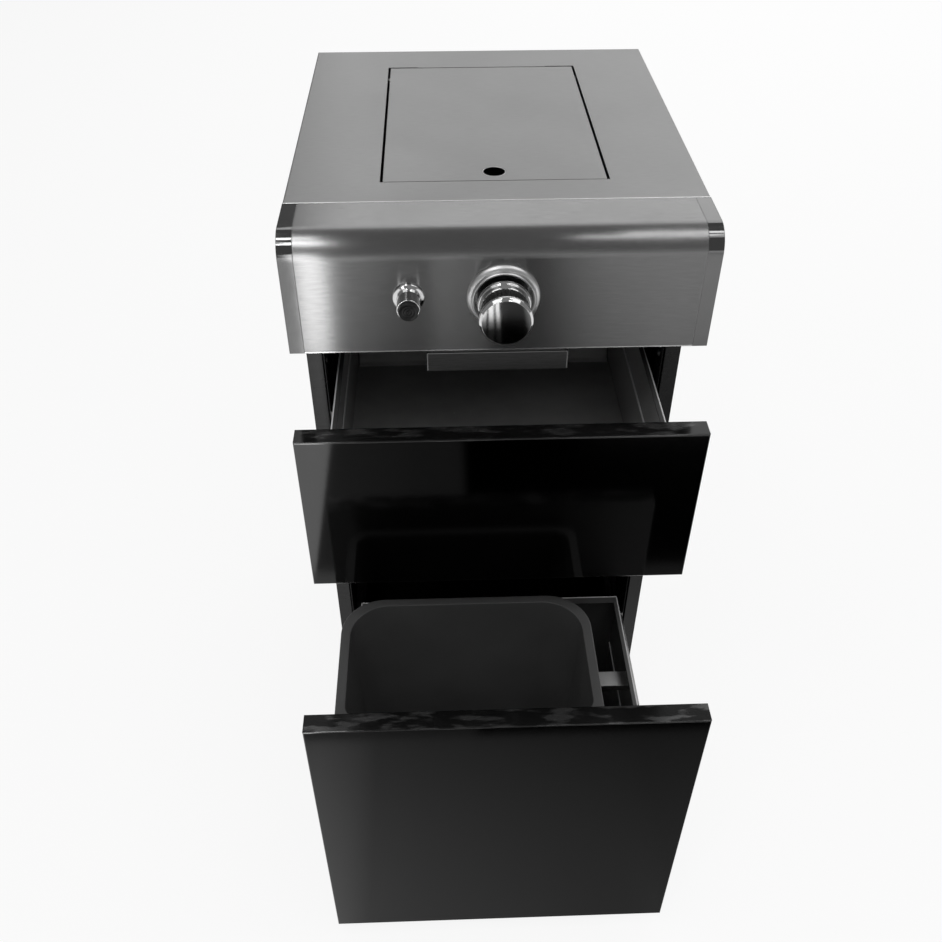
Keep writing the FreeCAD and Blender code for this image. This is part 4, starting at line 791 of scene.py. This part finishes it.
def knob_skirt_surface():
    """Cone with one step, hollow for the spindle."""
    base, tall, centre = turned_size("knob_skirt")
    foot = [(SPINDLE_BORE, 0, CRISP), (base - 1.0 * MM, 0, 0.5 * MM), (base, 2.0 * MM, 0.9 * MM)]
    step = [
        (base - 0.9 * MM, SKIRT_STEP * tall, 0.4 * MM),
        (base - 2.0 * MM, SKIRT_CONE * tall, 0.4 * MM),
    ]
    cone = [(base - 2.8 * MM, SKIRT_SHOULDER * tall, 0.5 * MM), (base - 3.6 * MM, tall, 0.3 * MM)]
    profile = rounded(foot + step + cone + [(SPINDLE_BORE, tall, CRISP)])
    return skin(turned(profile, centre), close_rows=True)


bezel = knob_bezel_surface()
add_piece("knob_bezel_ring", bezel, "cabinet", "polished_steel", ["knob_bezel"], "satin_chrome")
add_piece("knob_stepped_skirt", knob_skirt_surface(), "knob", "chrome", ["knob_skirt"])

# %% Knob grip and cap
GRIP_RIBS = 36
GRIP_COLUMNS_PER_RIB = 10
GROOVE_DEPTH = 1.1 * MM
GROOVE_SHARPNESS = 4
CAP_RIM = 2.6 * MM
CAP_CHAMFER = 1.0 * MM
CAP_SHOULDER = 3.6 * MM
DOME = 0.45 * MM
DOME_ROWS = 24


def ribbed(radius, angle):
    """Radius cut by narrow grooves: a high power of the cosine gives a groove much narrower than its rib."""
    groove = np.maximum(np.cos(GRIP_RIBS * angle), 0) ** GROOVE_SHARPNESS
    outer = radius.max()
    return radius - GROOVE_DEPTH * groove * (radius > outer - GROOVE_DEPTH)


def knob_grip_surface():
    """Band with rounded shoulders and ribs."""
    outer, tall, centre = turned_size("knob_grip")
    rear = [(SPINDLE_BORE, 0, CRISP), (outer, 0, 0.7 * MM)]
    front = [(outer, tall, 0.7 * MM), (SPINDLE_BORE, tall, CRISP)]
    columns = GRIP_RIBS * GRIP_COLUMNS_PER_RIB
    return skin(turned(rounded(rear + front), centre, columns, ribbed), close_rows=True)


def knob_cap_surface():
    """Cap with a rounded rim and a domed face: the dome falls off with the square of the radius."""
    outer, tall, centre = turned_size("knob_cap")
    face = outer - CAP_RIM
    corners = [
        (0, 0, 0),
        (outer - CAP_CHAMFER, 0, 0.5 * MM),
        (outer, CAP_CHAMFER, 0.7 * MM),
        (outer, tall - CAP_SHOULDER, 1.3 * MM),
        (face, tall - DOME, 0.5 * MM),
    ]
    rim = rounded(corners)[CORNER_STEPS:-CORNER_STEPS]
    radius = face * np.linspace(1, 0, DOME_ROWS)
    dome = np.stack([radius, tall - DOME * (radius / face) ** 2], -1)
    return skin(turned(np.concatenate([[(0, 0)], rim, dome]), centre))


add_piece("knob_ribbed_band", knob_grip_surface(), "knob", "black_plastic", ["knob_grip"])
add_piece("knob_domed_cap", knob_cap_surface(), "knob", "chrome", ["knob_cap"])

# %% [markdown]
# ## The igniter
# A spark igniter is a chromed barrel with a flange on the panel's face and a black push button in its
# collar. The button's end carries fine rings, which catch the light. Both are turned profiles
# again; the rings are a cosine of the radius.

# %% Igniter collar and button
BARREL_RADIUS = 9.0 * MM
COLLAR_RADIUS = 12.0 * MM
COLLAR_FLOOR = 11.7 * MM
BUTTON_GAP = 0.3 * MM
BUTTON_RIM = 1.9 * MM
BUTTON_DISH = 0.8 * MM
BUTTON_RINGS = 3
BUTTON_COLUMNS = 96
RING_HEIGHT = 0.25 * MM
FACE_ROWS = 40
PLUNGER_RADIUS = 3.5 * MM
PLUNGER_LENGTH = 18.0 * MM


def igniter_collar_surface():
    """Flange and collar in front of the panel with rounded edges, and the plain barrel behind it."""
    low, high, middle = span("igniter_body")
    flange = (high[0] - low[0]) / 2
    bore = turned_size("igniter_button")[0] + BUTTON_GAP
    panel = span("control_panel")[0][1]
    behind = panel - high[1]
    reach = panel - low[1]
    barrel = [(0, behind, 0), (BARREL_RADIUS, behind, 0.4 * MM), (BARREL_RADIUS, 0, CRISP)]
    step = [(flange, 0, 0.4 * MM), (flange - 0.8 * MM, 3.2 * MM, 0.7 * MM)]
    collar = [
        (COLLAR_RADIUS + 0.9 * MM, 4.0 * MM, 0.4 * MM),
        (COLLAR_RADIUS, 4.8 * MM, 0.4 * MM),
        (COLLAR_RADIUS, reach, 0.5 * MM),
    ]
    inside = [(bore, reach, 0.3 * MM), (bore, COLLAR_FLOOR, CRISP), (0, COLLAR_FLOOR, 0)]
    profile = rounded(barrel + step + collar + inside)
    return skin(turned(profile, (middle[0], panel, middle[2])))


def igniter_button_surface():
    """Button with a rounded rim, a dished end with rings, and its plunger behind."""
    outer, tall, centre = turned_size("igniter_button")
    face = outer - BUTTON_RIM
    plunger = [(0, 0, 0), (PLUNGER_RADIUS, 0, 0.4 * MM), (PLUNGER_RADIUS, PLUNGER_LENGTH, CRISP)]
    rim = [
        (outer, PLUNGER_LENGTH, 0.3 * MM),
        (outer, tall - 0.2 * MM, 0.9 * MM),
        (face, tall - 0.3 * MM, 0.3 * MM),
    ]
    side = rounded(plunger + rim)[CORNER_STEPS:-CORNER_STEPS]
    radius = face * np.linspace(1, 0, FACE_ROWS)
    rings = np.cos(2 * np.pi * BUTTON_RINGS * radius / face) - 1
    end = np.stack([radius, tall - BUTTON_DISH + RING_HEIGHT * rings], -1)
    return skin(turned(np.concatenate([[(0, 0)], side, end]), centre, BUTTON_COLUMNS))


add_piece("igniter_collar", igniter_collar_surface(), "cabinet", "chrome", ["igniter_body"])
add_piece("igniter_ringed_button", igniter_button_surface(), "igniter", "black_plastic", ["igniter_button"])

# %% [markdown]
# ## The waste bin
# The bin is a moulded tub with tapered walls, a wide corner radius and a flat rim that turns down at its
# edge. Box modelling with a Bevel modifier would work, but the rim's small rounds and the large corners
# fight over one bevel width. So the bin is a profile of inset and height, carried round a rectangle with
# round corners: a corner's radius shrinks by half of the inset, as a real mould's draft makes it.

# %% Waste bin
BIN_CORNER = 52.0 * MM
BIN_WALL = 2.5 * MM
BIN_RIM = 9.0 * MM
BIN_LIP = 12.0 * MM
BIN_TAPER = 29.0 * MM
BIN_STEPS = 7
FRONT_CORNER_SHARE = 0.4
CORNER_POINTS = 14


def round_rectangle(half, radius):
    """Loops of a rectangle with round corners, tighter in front: a corner's centre plus its radius."""
    quarter = np.linspace(0, np.pi / 2, CORNER_POINTS)
    angle = np.concatenate([quarter + turn * np.pi / 2 for turn in range(4)])
    side_x = np.repeat([1, -1, -1, 1], CORNER_POINTS)
    side_y = np.repeat([1, 1, -1, -1], CORNER_POINTS)
    radius = radius[:, None] * np.where(side_y > 0, 1.0, FRONT_CORNER_SHARE)
    x = side_x * (half[:, :1] - radius) + radius * np.cos(angle)
    y = side_y * (half[:, 1:] - radius) + radius * np.sin(angle)
    return x, y


def waste_bin_surface():
    """Tub: outside wall, turned-down lip, flat rim, inside wall and floor, as one closed skin."""
    low, high, middle = span("waste_bin")
    half = (high - low)[:2] / 2
    bottom = low[2]
    top = high[2]
    deep = half[1]
    under = top - BIN_WALL
    lip = top - BIN_LIP
    floor = bottom + BIN_WALL
    outside = [(deep, bottom, 0), (BIN_TAPER, bottom, 6.0 * MM), (BIN_RIM, under, 0.5 * MM)]
    edge = [(BIN_WALL, under, 0.5 * MM), (BIN_WALL, lip, 0.8 * MM), (0, lip, 0.8 * MM), (0, top, 2.2 * MM)]
    inside = [(BIN_RIM + BIN_WALL, top, 1.3 * MM), (BIN_TAPER + BIN_WALL, floor, 9.0 * MM), (deep, floor, 0)]
    profile = rounded(outside + edge + inside, BIN_STEPS)
    inset = profile[:, :1]
    radius = np.minimum(BIN_CORNER - inset[:, 0] / 2, half[1] - inset[:, 0])
    x, y = round_rectangle(half - inset, radius)
    z = profile[:, 1:] * np.ones(x.shape[1])
    return skin(np.stack([middle[0] + x, middle[1] + y, z], -1))


add_piece("waste_bin_tub", waste_bin_surface(), "lower_drawer", "bin_plastic", ["waste_bin"])

# %% [markdown]
# ## Hems, beads and coves of the drawer boxes
# A sheet-metal box is stiffened where it is folded: a cove between floor and back, a rolled bead along
# each side wall and a hem on the top edges, as on the tray's pull plate. Worn folds show bare metal, and
# their light tone is also a painted highlight, so they show as thin bright lines. A Bevel modifier could
# round an edge, but not add a bead. Each one is a closed section drawn straight along an axis, with both
# ends gathered to the section's middle.

# %% Hems
HEM_RADIUS = 0.9 * MM
HEM_PROUD = 0.5 * MM
HEM_POINTS = 12
END_GAP = 2.0 * MM
SKIM = 0.1 * MM


def drawn(section, axis, start, end):
    """Closed section of two columns, drawn straight along an axis."""
    middle = np.broadcast_to(section.mean(axis=0), section.shape)
    points = np.empty((4, len(section), 3))
    others = [index for index in range(3) if index != axis]
    points[..., others] = np.stack([middle, section, section, middle])
    points[..., axis] = np.array([start, start, end, end])[:, None]
    return skin(points)


def circle(centre, radius):
    """Ring of points round a centre."""
    angle = all_round(HEM_POINTS)
    return np.stack([centre[0] + radius * np.cos(angle), centre[1] + radius * np.sin(angle)], -1)


def hems_surface(name):
    """Rolled hems along the outer top edges of a box's side and back walls."""
    low, high, _ = span(name)
    level = high[2] - HEM_RADIUS + HEM_PROUD
    edge = high[0] - HEM_RADIUS + HEM_PROUD
    back = high[1] - HEM_RADIUS
    front = low[1] + END_GAP
    sides = [drawn(circle((side * edge, level), HEM_RADIUS), 1, front, back) for side in (-1, 1)]
    return joined(sides + [drawn(circle((back, level), HEM_RADIUS), 0, -edge, edge)])


def pull_hem_surface():
    """Rolled hem along the top of the tray's pull plate and down its two ends."""
    low, high, _ = span("tray_pull")
    face = low[1] + HEM_RADIUS - SKIM
    level = high[2] - HEM_RADIUS
    edge = high[0] - HEM_RADIUS
    foot = low[2] + HEM_RADIUS
    ends = [drawn(circle((side * edge, face), HEM_RADIUS), 2, foot, level) for side in (-1, 1)]
    return joined(ends + [drawn(circle((face, level), HEM_RADIUS), 0, -edge, edge)])


add_piece("tray_pull_hem", pull_hem_surface(), "drip_tray_body", "body_steel", finish="worn_fold")

# %% Beads and coves
BEAD_DEPTH = 1.5 * MM
BEAD_HEIGHT = 5.0 * MM
BEAD_PLACE = 0.55
COVE = 13.0 * MM
COVE_TOP = 18.0 * MM
COVE_THICK = 1.0 * MM
DRAWER_SHEET = 1.0 * MM


def beads_surface(name):
    """Rolled beads along the inner faces of a box's side walls, over half way up."""
    low, high, _ = span(name)
    wall = high[0] - DRAWER_SHEET + SKIM
    level = low[2] + BEAD_PLACE * (high[2] - low[2])
    inner = wall - BEAD_DEPTH
    foot = [(wall, level - BEAD_HEIGHT / 2, CRISP), (wall, level + BEAD_HEIGHT / 2, CRISP)]
    crest = [(inner, level + BEAD_DEPTH / 2, 0.7 * MM), (inner, level - BEAD_DEPTH / 2, 0.7 * MM)]
    section = rounded(foot + crest)
    ends = (low[1] + END_GAP, high[1] - END_GAP)
    return joined([drawn(section * np.array([side, 1]), 1, *ends) for side in (-1, 1)])


def cove_surface(name):
    """Cove between a box's floor and its back wall, ending in a step on the wall."""
    low, high, _ = span(name)
    floor = low[2] + DRAWER_SHEET - SKIM
    wall = high[1] - DRAWER_SHEET + SKIM
    inner = wall - BEAD_DEPTH
    level = floor + COVE_THICK
    step = [(wall, floor, CRISP), (wall, floor + COVE_TOP, CRISP), (inner, floor + COVE_TOP, 0.5 * MM)]
    cove = [(inner, level, 4.0 * MM), (wall - COVE, level, 0.4 * MM), (wall - COVE, floor, CRISP)]
    edge = high[0] - DRAWER_SHEET - END_GAP
    return drawn(rounded(step + cove), 0, -edge, edge)


folds = {"_hems": hems_surface, "_beads": beads_surface, "_cove": cove_surface}
for side in ("upper", "lower"):
    box = side + "_drawer_box"
    for ending, surface in folds.items():
        add_piece(box + ending, surface(box), side + "_drawer", "drawer_steel", finish="worn_fold")

# %% [markdown]
# ## Screws with a cross recess
# The posts, the back panel and the drawer fronts are held by pan-head screws. A Boolean could cut their
# cross, but it leaves a ragged mesh. Here the head is a low dome and the cross is pressed into it: the
# recess is deep where a point lies near either arm of the cross and inside a small circle, and fades to
# nothing outside.

# %% Screw heads
SCREW_RADIUS = 2.0 * MM
SCREW_LENGTH = 6.0 * MM
HEAD_RADIUS = 4.0 * MM
HEAD_EDGE = 0.8 * MM
HEAD_HEIGHT = 2.0 * MM
RECESS_DEPTH = 0.9 * MM
RECESS_ARM = 0.55 * MM
RECESS_REACH = 2.2 * MM
ARM_SHARPNESS = 6
REACH_SHARPNESS = 12
HEAD_ROWS = 20
HEAD_COLUMNS = 64
BACK_SCREW_ROWS = 4
DRAWER_SCREW_ROWS = 2


def recess(across, up):
    """Share of the recess at a point: near one arm of the cross, and inside its reach."""
    near_arm = 1 / (1 + (np.minimum(abs(across), abs(up)) / RECESS_ARM) ** ARM_SHARPNESS)
    inside = 1 / (1 + (np.hypot(across, up) / RECESS_REACH) ** REACH_SHARPNESS)
    return near_arm * inside


def screw_surface(seat, axis, sign):
    """Shank and domed head on a seat, pointing along an axis, with a cross recess in the head."""
    shank = [(0, -SCREW_LENGTH), (SCREW_RADIUS, -SCREW_LENGTH), (SCREW_RADIUS, 0), (HEAD_RADIUS, 0)]
    radius = HEAD_RADIUS * np.linspace(1, 0, HEAD_ROWS)
    dome = np.stack([radius, HEAD_HEIGHT - (HEAD_HEIGHT - HEAD_EDGE) * (radius / HEAD_RADIUS) ** 2], -1)
    profile = np.concatenate([shank, dome])
    angle = all_round(HEAD_COLUMNS)
    across = profile[:, :1] * np.cos(angle)
    up = profile[:, :1] * np.sin(angle)
    on_dome = (np.arange(len(profile)) >= len(shank))[:, None]
    reach = profile[:, 1:] - RECESS_DEPTH * recess(across, up) * on_dome
    points = np.empty(across.shape + (3,))
    points[..., axis] = seat[axis] + sign * reach
    points[..., 1 - axis] = seat[1 - axis] + across
    points[..., 2] = seat[2] + up
    return skin(points)


def back_screws_surface(name, rows):
    """Screws in two columns that point backwards, with rows spread evenly over the node's height."""
    low, high, _ = span(name)
    levels = np.linspace(low[2] + HEAD_RADIUS, high[2] - HEAD_RADIUS, rows)
    columns = (low[0] + HEAD_RADIUS, high[0] - HEAD_RADIUS)
    seat_y = high[1] - HEAD_HEIGHT
    return joined([screw_surface((x, seat_y, z), 1, 1) for x in columns for z in levels])


def post_screws_surface(name):
    """Screws through the posts, pointing inwards on both sides."""
    low, high, _ = span(name)
    levels = (low[2] + HEAD_RADIUS, high[2] - HEAD_RADIUS)
    places = (low[1] + HEAD_RADIUS, high[1] - HEAD_RADIUS)
    seat = high[0] - SCREW_LENGTH
    spots = [(side, y, z) for side in (-1, 1) for y in places for z in levels]
    return joined([screw_surface((side * seat, y, z), 0, -side) for side, y, z in spots])


back_screws = back_screws_surface("back_panel_screws", BACK_SCREW_ROWS)
add_piece("post_cross_screws", post_screws_surface("post_screws"), "cabinet", "rail_steel", ["post_screws"])
add_piece("back_cross_screws", back_screws, "cabinet", "rail_steel", ["back_panel_screws"])
for side in ("upper", "lower"):
    name = side + "_drawer_screws"
    screws = back_screws_surface(name, DRAWER_SCREW_ROWS)
    add_piece(side + "_cross_screws", screws, side + "_drawer", "rail_steel", [name])

# %% [markdown]
# ## The finger hole's rim
# The lid is lifted by a round hole. Its edge is rolled, so that it doesn't cut the finger, and shows as a
# thin bright ring. Blender's own torus would do, but its place would have to be moved into the mesh.
# Here a small circle is carried round the hole, at the lid's own place.

# %% Finger hole rim
HOLE_RADIUS = 13.0 * MM
HOLE_INSET = 23.0 * MM
RIM_RADIUS = 0.5 * MM
RIM_COLUMNS = 96


def stood(radius, reach, angle, place, axis):
    """Points of a turned grid with its axis along Y or Z, starting at a place."""
    points = np.empty(np.broadcast_shapes(radius.shape, reach.shape, angle.shape) + (3,))
    points[..., 0] = place[0] + radius * np.cos(angle)
    points[..., 3 - axis] = place[3 - axis] + radius * np.sin(angle)
    points[..., axis] = place[axis] + reach
    return points


def hole_rim_surface():
    """Rolled rim just inside the lid's finger hole: a small circle carried round the hole."""
    low, high, middle = span("burner_lid")
    section = circle((HOLE_RADIUS - RIM_RADIUS, -RIM_RADIUS), RIM_RADIUS)
    place = (middle[0], low[1] + HOLE_INSET, high[2])
    return skin(stood(section[:, :1], section[:, 1:], all_round(RIM_COLUMNS), place, 2), close_rows=True)


add_piece("finger_hole_rim", hole_rim_surface(), "lid", "worktop_steel", finish="satin_chrome")

# %% [markdown]
# ## Threads and nuts
# The levelling feet and the gas inlet are threaded. A thread could be made with a Screw modifier, but its
# ends need closing by hand. As a surface it is simple: the radius follows a wave along the length,
# and the wave is turned with the angle, one pitch for each turn. The nuts are turned profiles whose
# radius is limited by the distance to the flats of a hexagon, which leaves the round chamfer at the corners.

# %% Threads and nuts
ROWS_PER_PITCH = 8
THREAD_COLUMNS = 48
TOOTH_SHARE = 0.3
NUT_COLUMNS = 96
NUT_CORNER = 0.88
NUT_CHAMFER = 0.08
NUT_ROUND = 0.2 * MM


def thread_surface(radius, bore, pitch, length, place, axis):
    """Threaded rod or tube: a cosine that turns once per pitch dips below the full radius; a plain bore."""
    tooth = TOOTH_SHARE * pitch
    rows = int(length / pitch * ROWS_PER_PITCH)
    reach = np.linspace(0, length, rows)[:, None]
    angle = all_round(THREAD_COLUMNS)
    wave = np.cos(2 * np.pi * reach / pitch - angle)
    outside = radius - tooth * (1 - wave)
    inner = np.full((1, THREAD_COLUMNS), bore)
    radii = np.concatenate([inner, outside, inner])
    reaches = np.concatenate([reach[:1], reach, reach[-1:]])
    return skin(stood(radii, reaches, angle, place, axis), close_rows=True)


def nut_surface(radius, bore, length, place, axis):
    """Hexagon nut: a chamfered profile, kept inside the flats."""
    chamfer = NUT_CHAMFER * radius
    lower = [(bore, 0, NUT_ROUND), (radius - chamfer, 0, NUT_ROUND), (radius, chamfer, NUT_ROUND)]
    upper = [(corner, length - level, size) for corner, level, size in reversed(lower)]
    profile = rounded(lower + upper)
    angle = all_round(NUT_COLUMNS)
    flats = NUT_CORNER * radius / np.cos((angle + np.pi / 6) % (np.pi / 3) - np.pi / 6)
    radii = np.minimum(profile[:, :1], flats)
    return skin(stood(radii, profile[:, 1:], angle, place, axis), close_rows=True)


# %% Levelling feet and gas inlet
STUD_RADIUS = 4.0 * MM
STUD_PITCH = 1.25 * MM
STUD_ABOVE = 12.0 * MM
STUD_NUT_RADIUS = 7.5 * MM
STUD_NUT_HEIGHT = 6.0 * MM
SHEET = 1.2 * MM
STUB_RADIUS = 6.6 * MM
STUB_BORE = 4.0 * MM
STUB_PITCH = 1.4 * MM
STUB_INSIDE = 12.0 * MM
STUB_NUT_HEIGHT = 3.0 * MM


def foot_studs_surface():
    """Four threaded studs, each with a nut below and above the floor sheet."""
    low, high, _ = span("foot_studs")
    grip = STUD_RADIUS - STUD_PITCH / 2
    above = high[2] - STUD_ABOVE
    below = above - SHEET - STUD_NUT_HEIGHT
    skins = []
    for x in (low[0] + STUD_NUT_RADIUS, high[0] - STUD_NUT_RADIUS):
        for y in (low[1] + STUD_NUT_RADIUS, high[1] - STUD_NUT_RADIUS):
            skins.append(thread_surface(STUD_RADIUS, 0.0, STUD_PITCH, high[2] - low[2], (x, y, low[2]), 2))
            skins.append(nut_surface(STUD_NUT_RADIUS, grip, STUD_NUT_HEIGHT, (x, y, below), 2))
            skins.append(nut_surface(STUD_NUT_RADIUS, grip, STUD_NUT_HEIGHT, (x, y, above), 2))
    return joined(skins)


def gas_inlet_surface():
    """Threaded stub through the back panel, with a thick nut inside and a thin one outside."""
    low, high, middle = span("gas_inlet_fitting")
    nut = (high[0] - low[0]) / 2
    grip = STUB_RADIUS - STUB_PITCH / 2
    inside = (middle[0], low[1], middle[2])
    outside = (middle[0], low[1] + STUB_INSIDE + SHEET, middle[2])
    return joined([
        thread_surface(STUB_RADIUS, STUB_BORE, STUB_PITCH, high[1] - low[1], inside, 1),
        nut_surface(nut, grip, STUB_INSIDE, inside, 1),
        nut_surface(nut, grip, STUB_NUT_HEIGHT, outside, 1),
    ])


add_piece("threaded_foot_studs", foot_studs_surface(), "cabinet", "rail_steel", ["foot_studs"])
add_piece("threaded_gas_inlet", gas_inlet_surface(), "cabinet", "brass", ["gas_inlet_fitting"])
